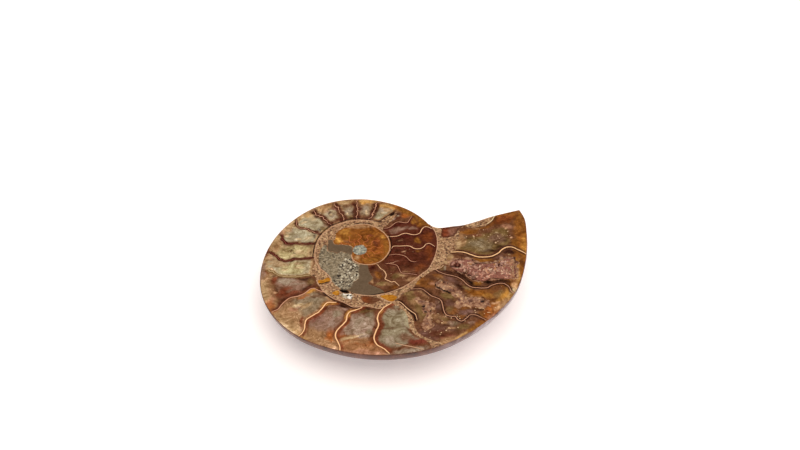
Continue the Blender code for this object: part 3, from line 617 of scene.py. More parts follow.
CLOUDS = [
    # upper chambers, from the right round to the left
    ("fog", 6, 27, 2.6, 1.6, 60, 0.8), ("celadon", 4.6, 24, 2.2, 1.8, 60, 0.8),
    ("honey", 8.5, 30.6, 3.5, 1.6, -20, 0.9), ("orange", 6, 31.6, 2, 1, 0, 0.7),
    ("fog", -1.2, 27.5, 1.6, 3, -5, 0.8), ("honey", -0.5, 33, 3, 1.2, 0, 0.8),
    ("cream", 0.5, 24.4, 1.4, 1.4, 0, 0.6), ("fog", -8.6, 27, 1.6, 2.6, 5, 0.9),
    ("rust", -6.5, 32, 1.4, 1.8, 0, 0.8), ("tan", -10, 32, 2, 1.6, 20, 0.7),
    ("olive", -7.4, 23.4, 2, 1, 0, 0.6), ("fog", -15.6, 25, 2.2, 1.8, 110, 0.8),
    ("cream", -14.4, 22.4, 1.6, 1, 30, 0.7), ("tan", -18.5, 28.4, 2.6, 1.6, 30, 0.7),
    ("mauve", -17.4, 27.4, 1, 0.6, 0, 0.6), ("oxblood", -14.8, 29.4, 1, 1.6, 30, 0.7),
    ("cream", -28.2, 25, 1.6, 1.4, 40, 0.8), ("cream", -23.6, 23.8, 1.4, 2, 0, 0.6),
    ("olive", -18.4, 17, 1.2, 1.6, 60, 0.8), ("sage", -23, 19, 1, 0.8, 0, 0.6),
    ("celadon", -27.8, 20.6, 2.2, 1.5, 135, 0.8), ("cream", -25, 11.6, 2, 1.2, 10, 0.8),
    ("sage", -29.6, 12.6, 1.4, 1.8, 70, 0.8), ("mauve", -32.4, 17, 1.4, 1.2, 0, 0.5),
    ("celadon", -27, 13, 4, 2, 160, 0.7), ("tan", -34, 17, 2, 1.4, 50, 0.6),
    ("cream", -27.6, 3, 1.6, 2, 60, 0.8), ("olive", -31.8, 3.4, 1.2, 1.4, 60, 0.8),
    ("olive", -33.6, 5, 2.6, 1, 35, 0.7), ("tan", -37.5, 6.6, 2.4, 1.4, -40, 0.7),
    ("rust", -32.6, 7.4, 2, 0.8, 0, 0.6), ("cream", -29, -4, 1.6, 0.8, -20, 0.9),
    ("sage", -33, -3, 1.6, 1, 40, 0.7), ("sage", -39.8, -1, 1.6, 1.2, 0, 0.8),
    ("buff", -40.4, -3.6, 1.6, 1, 0, 0.8), ("olive", -37, -5.4, 1.6, 1, 20, 0.6),
    ("mauve", -42.4, -5, 0.9, 3.6, 0, 0.8), ("rust", -40.6, -8, 1.8, 1.4, 0, 0.7),
    ("peach", -38.2, -7.4, 1.6, 0.8, -40, 0.8), ("umber", -31.4, 3.6, 1.1, 0.35, 60, 0.8),
    ("umber", -29.8, 2.2, 0.7, 0.3, -20, 0.8), ("umber", -30.4, 5.6, 0.8, 0.3, 0, 0.7),
    ("umber", -33.2, 7.6, 3, 0.7, 10, 0.8), ("umber", -24.4, 8.8, 2, 0.6, 0, 0.7),
    ("umber", -20.6, 16, 1.2, 1.6, 30, 0.8), ("umber", -16.2, 20, 1.6, 0.9, 40, 0.8),
    ("umber", -22.6, 12, 0.7, 1.6, 0, 0.7), ("umber", -23.4, 2.6, 0.6, 1.6, 0, 0.6),
    ("umber", -12.4, 22.6, 1.4, 1, 0, 0.8), ("umber", -1.6, 22.8, 1.6, 0.7, 0, 0.8),
    ("umber", -7.6, 22.8, 1.6, 0.7, 0, 0.8), ("umber", -16.4, 26.6, 1.4, 0.5, 50, 0.6),
    ("umber", -26.6, 22.4, 1, 0.4, 0, 0.5), ("cream", -35, 6.4, 2, 1, 20, 0.8),
    ("cream", -27.4, 21, 1.4, 0.7, 30, 0.8), ("cream", -22.6, 24.8, 1.2, 0.6, 60, 0.8),
    ("cream", -29, 10.8, 1.6, 0.6, -10, 0.8), ("cream", -33.8, 13, 1.2, 0.6, 40, 0.8),
    ("cream", -27.6, -6.4, 2.2, 0.7, -10, 0.8), ("cream", -33.4, -7.2, 1.4, 0.6, 20, 0.8),
    ("cream", -30.4, 0.9, 1.2, 0.5, 40, 0.8), ("cream", -16, 25.2, 0.8, 0.6, 0, 0.8),
    ("cream", -8.8, 25.6, 0.5, 1, 0, 0.8), ("cream", -0.6, 26.4, 0.5, 1.1, 0, 0.8),
    ("cream", 6.4, 26, 1, 0.5, 40, 0.8), ("cream", -10.4, 33, 2, 0.6, 12, 0.8),
    # lower left chambers
    ("fog", -32.6, -13.4, 4.4, 2.2, 4, 0.85), ("buff", -38.4, -10.4, 2, 2.4, 20, 0.85),
    ("brown", -27.6, -3.6, 3.6, 0.9, 0, 0.5), ("brown", -24.6, -1.2, 3.4, 1.3, 0, 0.7),
    ("brown", -30, -1.2, 4, 1.1, 0, 0.6), ("tan", -36.4, -3, 4, 3, 0, 0.6),
    ("tan", -40.4, 0.6, 1.8, 2, 0, 0.8), ("brown", -32, 8, 5, 1.4, 10, 0.6),
    ("brown", -24.4, 7, 2.6, 1.5, 0, 0.6), ("brown", -17.4, 19.4, 2.6, 1.7, 40, 0.8),
    ("mahogany", -13.6, 22, 2.6, 1.5, 30, 0.8), ("brown", -12.2, 25.4, 1.3, 2.6, 20, 0.7),
    ("mahogany", -11, 22.6, 2.2, 1.2, 0, 0.8), ("brown", -9.4, 31, 2.6, 1.4, 10, 0.7),
    ("brown", -3, 29.6, 1.4, 3, 0, 0.6), ("brown", -2.4, 23.4, 3, 1.3, 0, 0.8),
    ("tan", 8.6, 28, 2, 1.4, 0, 0.7), ("brown", -20.6, 13.4, 1.8, 1.6, 40, 0.7),
    ("fog", -28, -15.6, 4, 0.9, 8, 0.5), ("umber", -24.6, -12.6, 3, 1, -10, 0.8),
    ("olive", -22.8, -14.6, 1.6, 2, -20, 0.6), ("umber", -24, -17.8, 2.4, 0.9, 40, 0.8),
    ("russet", -37.4, -12.8, 1.6, 2.4, 0, 0.9), ("umber", -38.2, -10.6, 1.4, 0.7, 20, 0.7),
    ("russet", -33, -19.6, 4.6, 2.4, 50, 0.9), ("russet", -29, -20.4, 3.6, 1.1, 25, 0.8),
    ("peach", -36.2, -20, 0.8, 0.5, 0, 0.8), ("buff", -41, -19.5, 1.6, 3.6, 8, 0.9),
    ("dusty_pink", -38, -24.8, 1.8, 2.2, 0, 0.8), ("sage", -20.5, -24.4, 3.6, 2.2, 35, 0.8),
    ("brown", -30, -24.6, 2.4, 1.2, 25, 0.7), ("brown", -19.4, -22.6, 3.4, 1.3, 0, 0.7),
    ("brown", -13.6, -29.4, 3, 1.4, 5, 0.7), ("orange", -25, -22.6, 2.6, 0.9, 30, 0.9),
    ("umber", -17.4, -21.4, 2.4, 0.8, -30, 0.9), ("cream", -27, -27.6, 3.4, 0.8, 32, 0.9),
    ("rust", -25.2, -28.2, 1.2, 0.6, 30, 0.7), ("peach", -29, -29, 1.4, 0.6, 20, 0.8),
    ("russet", -24.6, -36.4, 0.8, 4, -8, 0.9), ("buff", -23.4, -27.4, 3, 1.5, 35, 0.8),
    ("dusty_pink", -28, -29.4, 2.6, 1.1, 20, 0.7), ("tan", -32.4, -31.4, 3, 2, -50, 0.8),
    ("brown", -3, -33.8, 2, 1.6, 0, 0.5), ("orange", -17.2, -30.2, 2.6, 0.9, 48, 0.9),
    ("umber", -9.6, -27.8, 3, 0.8, -14, 0.8), ("sage", -10.6, -32, 2.2, 2.4, 80, 0.8),
    ("veil", -13, -37, 3, 1.2, 70, 0.5), ("oxblood", -19, -34.4, 3, 0.9, 50, 0.6),
    ("orange", -13, -43.4, 2, 4, 5, 0.9), ("peach", -13.4, -48.2, 3.4, 0.5, -20, 0.8),
    ("tan", -18.8, -43, 2.4, 2, 80, 0.8), ("plum", -17, -35, 2, 2, 0, 0.4),
    # the two chambers below the middle
    ("brown", -5.4, -39, 1.2, 3.6, -12, 0.5), ("buff", -5.2, -44.8, 4, 0.9, 17, 0.8),
    ("brown", 0.2, -41.4, 2.4, 1, 0, 0.6), ("umber", -8.8, -27.8, 3, 0.8, -24, 0.8),
    ("orange", -6.8, -37, 3.4, 1.1, 68, 0.9), ("olive", 0.2, -30.8, 4, 1.2, 0, 0.8),
    ("umber", 1.6, -30, 3, 0.8, -8, 0.7), ("sage", 1.4, -33, 1.6, 1.2, 0, 0.7),
    ("fog", -2, -37, 3.4, 1.6, 65, 0.7), ("sage", 2.6, -34.5, 1.6, 3, 10, 0.7),
    ("cream", -3.4, -44.4, 5, 0.3, 17, 0.6), ("olive", 2.2, -42.4, 2, 1.2, 0, 0.8),
    ("sage", 2.6, -42, 1.6, 1.6, 0, 0.7), ("tan", -1.6, -46.6, 5, 1.6, 5, 0.7),
    ("russet", -8.6, -42, 1.1, 2.4, -8, 0.6), ("russet", 6.6, -40.5, 1.3, 4.6, -5, 0.9),
    ("amber", 6.6, -33.6, 0.8, 2.4, -5, 0.9), ("fog", 10, -46.6, 2.6, 1.6, -30, 0.8),
    ("sage", 9.2, -32, 2, 2, 10, 0.7), ("sage", 12.4, -29.4, 1.7, 1.6, 0, 0.8),
    ("celadon", 15.4, -33.4, 1.6, 3.2, 20, 0.9), ("celadon", 16.8, -37.4, 1.3, 3, 10, 0.9),
    ("oxblood", 9.6, -40.2, 3, 0.6, 5, 0.4), ("brown", 17, -46, 4, 2, -30, 0.8),
    ("oxblood", 20.5, -47.6, 4, 1.6, 0, 0.9),
    # the lower right chambers
    ("olive", 33, -24, 3, 1.8, -40, 0.9), ("mauve", 29.4, -28.6, 1.6, 4, 10, 0.8),
    ("olive", 18.6, -25, 2.6, 2, -40, 0.9), ("sage", 30, -13.4, 2, 1, -20, 0.6),
    ("mauve", 33.6, -18.2, 4, 1.4, -35, 0.7), ("tan", 43, -24, 4, 1.2, -10, 0.6),
    ("plum", 24, -44, 5, 2, -30, 0.8), ("tan", 30, -43.6, 4, 0.8, 20, 0.7),
    ("sage", 35, -38.6, 3, 1.2, 10, 0.6), ("honey", 48, -24, 3, 1.4, -20, 0.6),
    ("mauve", 41, -33.6, 4, 1.6, 10, 0.6), ("olive", 17, -22.2, 2.6, 1.4, 30, 0.9),
    ("olive", 22, -31, 6, 4, 110, 0.8), ("umber", 29, -31.6, 1.3, 6, 0, 0.6),
    ("plum", 28.6, -29, 1.2, 3.4, 0, 0.6), ("brown", 26, -23.4, 4, 2, -40, 0.7),
    ("plum", 30, -40.8, 6, 2, -5, 0.6), ("mahogany", 29, -44, 6, 2, 5, 0.8),
    ("oxblood", 34, -45.4, 4, 1.4, 15, 0.8), ("olive", 38.6, -40.6, 3, 1.6, 10, 0.8),
    ("tan", 31.4, -38.4, 1.6, 0.9, 0, 0.8), ("tan", 33.4, -40.8, 1.8, 0.5, 10, 0.8),
    ("tan", 28.6, -37.8, 1.1, 0.6, -30, 0.7), ("mauve", 33.6, -38.4, 1.4, 1.2, 0, 0.7),
    ("olive", 31.4, -36.6, 2.2, 1, -20, 0.7), ("mauve", 41.8, -38.4, 1.4, 1, 0, 0.7),
    ("ochre", 43, -41.4, 4, 1, 28, 0.7), ("brown", 18.6, -30, 1.8, 3.4, 30, 0.7),
    ("amber", 24, -16.8, 5.4, 2.8, -28, 0.6), ("dusty_pink", 27, -17, 1.8, 1, -20, 0.6),
    ("tan", 42, -20.4, 3, 1, -8, 0.8), ("honey", 20.8, -16.6, 1.4, 0.8, 40, 0.5),
    ("amber", 29.5, -12.8, 3, 1.2, -20, 0.7), ("plum", 35.5, -15.6, 4.4, 1.6, -38, 0.9),
    ("umber", 37.8, -19.6, 3.6, 1.2, -52, 0.8), ("amber", 43.8, -22.4, 5, 2, -6, 1),
    ("olive", 40.4, -20.2, 2, 1, -40, 0.7), ("brown", 53, -20.6, 3, 2, 0, 0.7),
    ("olive", 53.4, -23.6, 2.4, 1.8, 40, 0.6), ("honey", 56.4, -24.8, 3, 1.6, 50, 0.9),
    ("plum", 33.2, -27.6, 1.8, 2.4, 20, 0.7), ("tan", 19.4, -26.6, 1.5, 1.8, 0, 0.8),
    ("tan", 23, -22, 3.6, 1.5, -40, 0.6), ("tan", 21.8, -28, 1.2, 3.4, 25, 0.7),
    ("tan", 27.8, -35, 2.4, 1.6, 20, 0.6), ("tan", 32.2, -34.8, 2, 1.5, 0, 0.7),
    ("olive", 33.4, -24.6, 1.6, 0.9, 10, 0.7), ("olive", 33.6, -31.4, 1.6, 2, 0, 0.6),
    ("plum", 39.4, -33.2, 4, 1.8, 10, 0.95), ("umber", 45, -31.8, 3.6, 0.9, 0, 0.7),
    ("orange", 50.4, -31, 3.6, 2, 40, 0.8), ("rust", 47.6, -34, 3, 1.6, 30, 0.8),
    ("peach", 51.6, -28.4, 2, 0.7, 10, 0.6), ("cream", 54.6, -29.6, 1.6, 0.5, 40, 0.7),
    ("umber", 46, -25.6, 1.2, 0.7, 0, 0.5),
    # the pocket's chamber and the last one
    ("ochre", 46.6, -4.1, 6, 1.1, -4, 0.9), ("umber", 40.4, -1.6, 3.4, 0.8, -14, 0.7),
    ("tan", 34.8, -3.2, 2.2, 1.6, -20, 0.8), ("buff", 32.4, -5, 1.4, 1.6, 0, 0.8),
    ("buff", 34.8, -1.2, 1.3, 2.6, 0, 0.6), ("umber", 59, 0.2, 3.8, 1.9, 0, 1),
    ("buff", 58.8, -1.8, 0.9, 0.45, 0, 0.8), ("plum", 54.6, -2.6, 2.4, 1, 30, 0.8),
    ("brown", 64, -5.6, 1.4, 5, 6, 0.9), ("honey", 61.9, -9.4, 0.7, 5.6, 2, 0.9),
    ("peach", 59.4, -12.4, 1.1, 3.2, 4, 0.55), ("dusty_pink", 60, -16.8, 1.4, 2.4, 0, 0.8),
    ("umber", 32.8, -10.6, 3.6, 1, -22, 1), ("umber", 38.6, -12.6, 3.6, 1.7, -48, 1),
    ("black", 43.2, -18, 3.6, 1, -32, 0.8), ("ochre", 45.8, -17.2, 2.6, 1.2, 16, 1),
    ("black", 52.2, -17.3, 6.6, 1.4, 2, 0.95), ("black", 41.2, -15.6, 2.8, 0.8, -50, 0.7),
    ("umber", 57.4, -17.2, 2.2, 1, -10, 0.9), ("olive", 30.6, -8, 2, 1.2, -40, 0.6),
    ("fog", 31.9, -8.6, 0.7, 1.2, 0, 0.6), ("olive", 44, 5.4, 7, 4.2, 6, 0.9),
    ("sage", 46.4, 5.4, 5, 2.6, 12, 0.7), ("amber", 43.4, 12.4, 4.6, 1.8, 0, 0.9),
    ("oxblood", 46, 9.6, 2.6, 1, 0, 0.5), ("plum", 54.4, 8.4, 4, 3.2, 20, 0.7),
    ("umber", 55, 2.4, 4, 1.5, 38, 0.7), ("ochre", 62.4, 4.6, 2.4, 4.4, 0, 0.9),
    ("orange", 64.4, 6, 1.6, 6, 0, 0.6), ("umber", 51, 0.7, 3.4, 1.2, -5, 0.7),
    ("tan", 39.6, 8, 1.7, 4, 0, 0.8), ("buff", 37.8, 5.2, 1.5, 2.4, 0, 0.8),
    ("tan", 47, 14.8, 3, 0.8, 8, 0.6), ("dusty_pink", 59.4, 15.4, 2.6, 1.6, 0, 0.6),
    ("peach", 58.6, 14.2, 1, 0.7, 30, 0.8), ("peach", 60.8, 8.6, 0.6, 0.5, 0, 1),
    ("cream", 54.8, 11.6, 0.7, 0.4, 0, 0.6), ("fog", 41, 8.6, 0.8, 0.5, -40, 0.6),
    ("rust", 58, 19.8, 6, 2.6, 14, 0.9), ("brown", 50.6, 13.2, 3, 1.6, 20, 0.6),
    ("honey", 65.2, 21.5, 1, 3, 0, 0.5), ("umber", 57.6, 7, 1.4, 1, 40, 0.6),
    # the second whorl
    ("veil", 10.4, 21.2, 1.8, 0.8, 40, 0.9), ("umber", 12.4, 24.6, 2.2, 1, 30, 0.9),
    ("fog", 12.6, 23.4, 0.9, 0.6, 30, 0.9), ("orange", 16.8, 24, 2.4, 1.8, 20, 0.9),
    ("mahogany", 12.8, 21.6, 1.8, 0.8, 20, 0.9), ("ochre", 19.6, 20.4, 1.4, 2.2, 0, 0.9),
    ("amber", 22.6, 18, 2, 2, 0, 0.8), ("mauve", 13.4, 15.2, 3.8, 1.2, 28, 1),
    ("mauve", 19, 15.6, 2.2, 1, 0, 0.7), ("maroon", 12.2, 17.8, 3.2, 0.8, 32, 0.9),
    ("maroon", 16.2, 10.6, 3.4, 0.8, 8, 0.9), ("ochre", 21.4, 8.6, 1.6, 2.2, 0, 0.9),
    ("rust", 25.6, 10.6, 2.2, 3.4, 0, 0.9), ("tan", 13.8, 8.2, 1.4, 0.5, 20, 0.5),
    ("ochre", 21.8, 2, 1.6, 1, 0, 0.9), ("rust", 26, 1.6, 1.8, 5, 4, 0.8),
    ("umber", 13, 2.6, 2, 1, 0, 0.6), ("peach", 15.4, 1.8, 1, 0.3, 20, 0.6),
    ("maroon", 17, 4, 3, 0.6, -8, 0.8), ("mahogany", 12, -3, 3, 1.2, 0, 0.8),
    ("rust", 22, -7.8, 2.6, 2, 40, 0.7), ("tan", 14.6, -11.4, 2.6, 1.7, 8, 0.9),
    ("tan", 17, -10.6, 2.6, 1.2, 0, 0.6), ("buff", 14.4, -12, 1.6, 1, 0, 0.6),
    ("olive", 12, -12.6, 2, 1.6, 0, 0.9), ("buff", 15, -11.4, 0.9, 0.4, -30, 0.8),
    ("tan", 18.4, -14.2, 2.4, 1.4, 30, 0.7), ("brown", 10.4, -8, 2, 1.4, 20, 0.9),
    ("amber", 5, -11.4, 1.6, 2.2, 20, 0.8), ("olive", 7.4, -16.4, 2.6, 1.2, 10, 1),
    ("tan", 9.4, -16.8, 2.2, 1, 0, 0.7), ("amber", 12, -18.2, 2.2, 0.9, 20, 0.7),
    ("brown", 5.6, -18.2, 2, 1, 0, 0.8), ("tan", 2.6, -14.6, 0.8, 1.6, 20, 0.8),
    ("maroon", 2.4, -7.4, 1, 1.2, 0, 0.8),
]
# Clouds in the first whorl's calcite.
INNER_CLOUDS = [
    ("honey", -12, 9.6, 1.8, 2.6, 10, 1), ("honey", -9.6, 14.6, 2.8, 1.4, 30, 0.7),
    ("ochre", -8.6, 11.6, 2.2, 2, 0, 0.9), ("tan", -3, 17.4, 5.6, 1.3, 0, 0.8),
    ("amber", 1.6, 14.4, 4, 1.6, -20, 0.7), ("rust", 1.4, 11.6, 1.4, 0.9, 0, 0.9),
    ("rust", 4.2, 7.4, 1.4, 3.4, 0, 0.9), ("orange", 5.6, 3.4, 2, 3, 0, 0.5),
    ("ochre", 8, 4.6, 1, 5, 4, 0.8), ("ochre", 2, -2.4, 4.4, 1.4, 0, 0.9),
    ("buff", -4, -1.4, 1.6, 1.2, 40, 0.6), ("mahogany", 0.2, 8.4, 1, 2, 0, 0.6),
    ("rust", -4.4, 8.4, 2, 1.4, 0, 0.7), ("honey", 6.6, 10.6, 1, 1.6, 20, 0.7),
    ("brown", -8, 8, 2, 0.8, -30, 0.7), ("rust", 2.8, 3.4, 1.4, 1, 0, 0.7),
    ("mahogany", 3.6, 6.4, 1.1, 2.6, 15, 0.6), ("mahogany", 1.6, 12, 1.6, 0.7, -30, 0.6),
]
# Clear amber calcite that thickens the bends of the lower walls.
THICKENINGS = [
    ("honey", -21.9, -19.5, 2.9, 1.1, 24, 0.9), ("honey", -15.4, -27, 2, 1.1, 30, 0.9),
    ("honey", -13, -26.7, 2.2, 0.6, -2, 0.7), ("honey", -6.4, -32.6, 2.6, 0.9, 68, 0.9),
    ("honey", -4.4, -30.6, 1.6, 0.5, 25, 0.7), ("honey", 6.4, -31.8, 1.9, 0.5, 55, 0.7),
]
# Where pale grains of a millimetre or less are caught in the calcite: middle, size, direction, strength.
SPECKLED = [
    (50, 9, 12, 6, 10, 0.9), (31, -38, 12, 7, 20, 1), (47, -31, 8, 5, 30, 1), (-28, -31, 8, 5, -50, 0.9),
    (-38, -15, 5, 8, 0, 0.8), (17, 3, 7, 4, 0, 0.6), (-36, 5, 6, 12, 0, 0.7), (27, -30, 6, 6, 0, 0.8),
    (57, -21, 5, 4, 0, 0.9), (10, -14, 8, 4, 0, 0.5), (-15, -45, 8, 3, -20, 0.6),
    (-10, 30, 20, 5, 10, 0.5),
]


def linear(code, alpha=1.0):
    """An sRGB hex colour in linear light."""
    parts = [int(code[i:i + 2], 16) / 255 for i in (1, 3, 5)]
    return (*(c / 12.92 if c <= 0.04045 else ((c + 0.055) / 1.055) ** 2.4 for c in parts), alpha)


def mineral(name):
    """A mineral's colour in linear light."""
    return np.array(linear(MINERALS[name])[:3])


def shade_in(colour, share, name):
    """Moves the colours towards a mineral's by this share, in place."""
    colour += (mineral(name) - colour) * np.clip(share, 0, 1)[:, None]


def fill_chamber(colour, spots, edge, washes, from_rim, ragged):
    """Tints one chamber's calcite with its washes, whose edges are soft and wander."""
    inside = within(spots, edge, CHAMBER_REACH)
    strayed = from_rim + 3 * ragged
    for name, inset, low, high, strength in washes:
        share = ease(inset - 0.4, inset + 0.5, inside + 0.9 * ragged)
        share *= ease(low - 1.2, low + 1.2, strayed + 2 * (low == 0))
        shade_in(colour, strength * share * ease(high + 1.5, high - 1.5, strayed), name)


def fill_chambers(colour, spots, from_rim, ragged):
    """Tints every chamber between two walls, and the last one between a wall and the mudstone."""
    for nearer, further, washes in CHAMBERS:
        one, other = curve(SEPTA[nearer][0]), curve(SEPTA[further][0])
        edge = np.concatenate([one, PAST_RIM * one[-1:], PAST_RIM * other[-1:], other[::-1]])
        fill_chamber(colour, spots, edge, washes, from_rim, ragged)
    wall, washes = LOWER_CHAMBER
    edge = np.concatenate([curve(SEPTA[wall][0]), MUDSTONE_BAND[8::-1]])
    fill_chamber(colour, spots, edge, washes, from_rim, ragged)


def lay_clouds(colour, spots, clouds, ragged, keep):
    """Tints the colours with soft-edged clouds, where keep lets them."""
    for name, *oval, strength in clouds:
        shade_in(colour, strength * ease(*CLOUD_EDGE, oval_share(spots, *oval) + ragged) * keep, name)


def lie_under(spots, ovals):
    """How strongly these soft-edged ovals lie over each spot."""
    most = np.zeros(len(spots))
    for *oval, strength in ovals:
        most = np.maximum(most, strength * ease(*OVAL_EDGE, oval_share(spots, *oval)))
    return most


def nearest_septum(spots):
    """The nearest wall to each spot.

    Its distance, the same with the side's sign, its half width, that with its dark seam, its colour, how
    strongly its shade lies here, and that shade's colour.
    """
    best = np.full(len(spots), LINE_REACH)
    sides, half, seam, shade = (np.full(len(spots), start) for start in (1.0, 0.3, 0.3, 0.0))
    tint = np.tile(mineral("peach"), (len(spots), 1))
    shade_tint = np.tile(mineral("umber"), (len(spots), 1))
    for points, tone, width, dark, reach, side in SEPTA.values():
        distance, beside, along = from_line(spots, curve(points), LINE_REACH)
        near = distance < best
        best = np.where(near, distance, best)
        taper = 0.62 + 0.38 * np.sin(np.pi * np.clip(along * 1.02, 0, 1)) ** 0.5
        own_side = np.where((side == 0) | (beside == side), 1, OTHER_SIDE)
        strength = ease(1.4 * reach, 0.45 * reach, distance) * own_side
        seamed = SEAM * own_side * ease(1.02, 0.8, along)
        finds = ((sides, beside), (half, width * taper), (seam, width * taper + seamed), (shade, strength))
        for kept, found in finds:
            kept[near] = found[near]
        tint[near] = mineral(tone)
        shade_tint[near] = mineral(dark)
    return best, best * sides, half, seam, tint, shade, shade_tint


def inner_walls():
    """The first whorl's crowded walls: wavy lines out from the first chamber, each out of step."""
    lines = []
    for k, bearing in enumerate(INNER_WALL_BEARINGS):
        turn = math.radians(bearing)
        end = UPPER_WALLS_END if bearing > -20 else LOWER_WALLS_END
        reach = np.linspace(FIRST_CHAMBER_SIZE + 0.2, end, 26)
        swing = 0.75 * np.sin((reach - FIRST_CHAMBER_SIZE) * 1.45 + k * 1.9) * ease(3, 6, reach)
        x = FIRST_CHAMBER[0] + reach * math.cos(turn) - swing * math.sin(turn)
        y = FIRST_CHAMBER[1] + reach * math.sin(turn) + swing * math.cos(turn)
        lines.append(np.stack([x, y], -1))
    return lines


def stray(spots, size, seed, layers=3):
    """A wandering shift in x and y, which changes over this many mm."""
    return np.stack([wander(spots, size, seed + k, layers) for k in (0, 1)], -1)


def paint_calcite(spots, warp, ragged, billows, from_rim, off_wall, shade, shade_tint):
    """The calcite's colours: broad tones, washes, clouds, the rim's tones and the walls' shade."""
    colour = np.tile(mineral("brown"), (len(spots), 1))
    whole = np.ones(len(spots))
    lay_clouds(colour, spots + warp * 2, GROUND_TONES, ragged, whole)
    fill_chambers(colour, spots + 0.4 * warp, from_rim, ragged + billows)
    in_chamber = ease(0.1, 1.6, off_wall + 0.5 * ragged)
    lay_clouds(colour, spots + warp, CLOUDS, ragged, 0.25 + 0.75 * in_chamber)
    lay_clouds(colour, spots + warp, RIM_TONES, ragged, ease(6, 1.5, from_rim + 4 * billows))
    shaded = np.clip(shade * (1 + 2 * ragged), 0, 1) * ease(-0.1, 2.5, from_rim + 0.6)
    colour += (shade_tint - colour) * (0.9 * shaded)[:, None]
    lay_clouds(colour, spots + 0.4 * warp, THICKENINGS, 0.5 * ragged, whole)
    return colour


def paint_islands(colour, spots, ragged, pillar, small):
    """Tints the calcite pillar at the whorl's end and the small chamber in the lower mudstone."""
    shade_in(colour, ease(-0.2, 0.2, pillar + 0.3 * ragged), "russet")
    shade_in(colour, 0.5 * ease(-0.2, 0.2, pillar) * ease(1, 3, spots[:, 0] - 32 + 4 * ragged), "mauve")
    shade_in(colour, 0.7 * ease(1.6, 0.2, pillar) * ease(-0.2, 0.2, pillar), "umber")
    shade_in(colour, ease(-0.2, 0.2, small), "brown")
    shade_in(colour, 0.9 * ease(0.1, 1.2, small + 2 * ragged) * ease(4, 0, spots[:, 0]), "rust")


def paint_face(spots):
    """Everything that the face's finish reads, for points of the face: distances in mm, and colours."""
    warp = stray(spots, 3.2, 11) * 0.55
    ragged = 0.22 * wander(spots, 1.5, 13, 3)
    billows = 0.2 * wander(spots, 5.0, 18, 4)
    # The walls are crooked all over, and more so in the second whorl's lower left.
    crooked = stray(spots, 1.6, 14, 2)
    crooked *= (0.1 + 0.36 * ease(-14, -8, spots[:, 1]) * ease(10, 2, spots[:, 0]))[:, None]
    septum, septum_side, half, seam, tint, shade, shade_tint = nearest_septum(spots + crooked)
    from_rim = within(spots, evenly(face_outline(), OUTLINE_SAMPLES))
    colour = paint_calcite(spots, warp, ragged, billows, from_rim, septum - half, shade, shade_tint)

    first = within(spots, curve(FIRST_WHORL, closed=True))
    inner = np.tile(mineral("ochre") * 0.4 + mineral("orange") * 0.35, (len(spots), 1))
    lay_clouds(inner, spots + warp * 0.6, INNER_CLOUDS, ragged, np.ones(len(spots)))
    colour = np.where((first > -0.5)[:, None], inner, colour)
    pillar = within(spots, curve(PILLAR, closed=True))
    small = within(spots, curve(SMALL_CHAMBER, closed=True))
    paint_islands(colour, spots, ragged, pillar, small)

    inner_wall, inner_wall_side = off_any(spots, inner_walls())
    shell_line, shell_line_side = off_any(spots, [curve(line) for line in SHELL_LINES.values()])
    dark_line, dark_line_side = off_any(spots, [curve(line) for line in DARK_LINES.values()])
    mud = inside_any(spots, (MUDSTONE, MUDSTONE_BAND, MUDSTONE_END))
    mud += 1.3 * wander(spots, 1.8, 16) * ease(31.5, 36, spots[:, 0])
    druse = inside_any(spots, DRUSE_PATCHES.values())
    fields = {
        "septum": septum,
        "septum_side": septum_side,
        "septum_half": half,
        "septum_seam": seam,
        "from_rim": from_rim,
        "mudstone": np.minimum(mud, -np.max([first, pillar, small], axis=0)),
        "grey_mudstone": inside_any(spots, [GREY]),
        "sparkle": inside_any(spots, [SPARKLE]),
        "smooth_mudstone": inside_any(spots, (SMOOTH_UPPER, SMOOTH_LOWER)),
        "white_grains": inside_any(spots, [WHITE_GRAINS]),
        "resin": inside_any(spots, RESIN_SPOTS.values()),
        "first_chamber": FIRST_CHAMBER_SIZE - np.hypot(*(spots - FIRST_CHAMBER).T),
        "first_whorl": first,
        "inner_wall": inner_wall,
        "inner_wall_side": inner_wall_side,
        "shell_line": shell_line,
        "shell_line_side": shell_line_side,
        "dark_line": dark_line,
        "dark_line_side": dark_line_side,
        "druse": druse + 0.8 * wander(spots, 2.2, 17) - 0.1,
        "pocket": within(spots, curve(POCKET_OUTLINE, 3, True), LINE_REACH),
        "specks": lie_under(spots, SPECKLED),
    }
    return fields, {"calcite": colour, "septum_tint": tint, "seam_tint": shade_tint * 0.75}


# ---------------------------------------------------------------- relief of the cut face, in mm
PITS = {  # x, y, length, width, depth, direction in degrees
    "burrow": (-8.5, -20, 3.5, 1.9, 4, -24), "pit_left": (-10.9, -11.2, 1.8, 1.1, 1, 30),
    "pit_upper": (-17.2, -3, 1.3, 0.9, 0.8, 0), "pit_lower": (-12.6, -13.9, 1.5, 1, 0.9, -40),
    "pit_rim": (-19.4, -2, 1.2, 0.8, 0.8, 60), "pit_mid": (-10.6, -16.8, 1.6, 1, 0.9, 20),
    "pit_side": (-5.7, -14.3, 1.5, 0.9, 0.9, 60), "upper_pit": (10.4, 24.6, 3, 0.9, 1.3, 45),
    "slit": (32.2, -21, 5.2, 1.2, 1.8, -36), "pit_a": (29.4, -18.4, 1.8, 1, 1.2, -60),
    "pit_b": (23.1, -29, 1.9, 1.1, 1.3, 40), "pit_c": (24, -31.8, 2, 1.1, 1.3, -15),
    "pit_d": (25.9, -31, 1.4, 1, 1.1, 70), "pit_e": (46.6, -26.9, 2.2, 1, 1, 15),
}


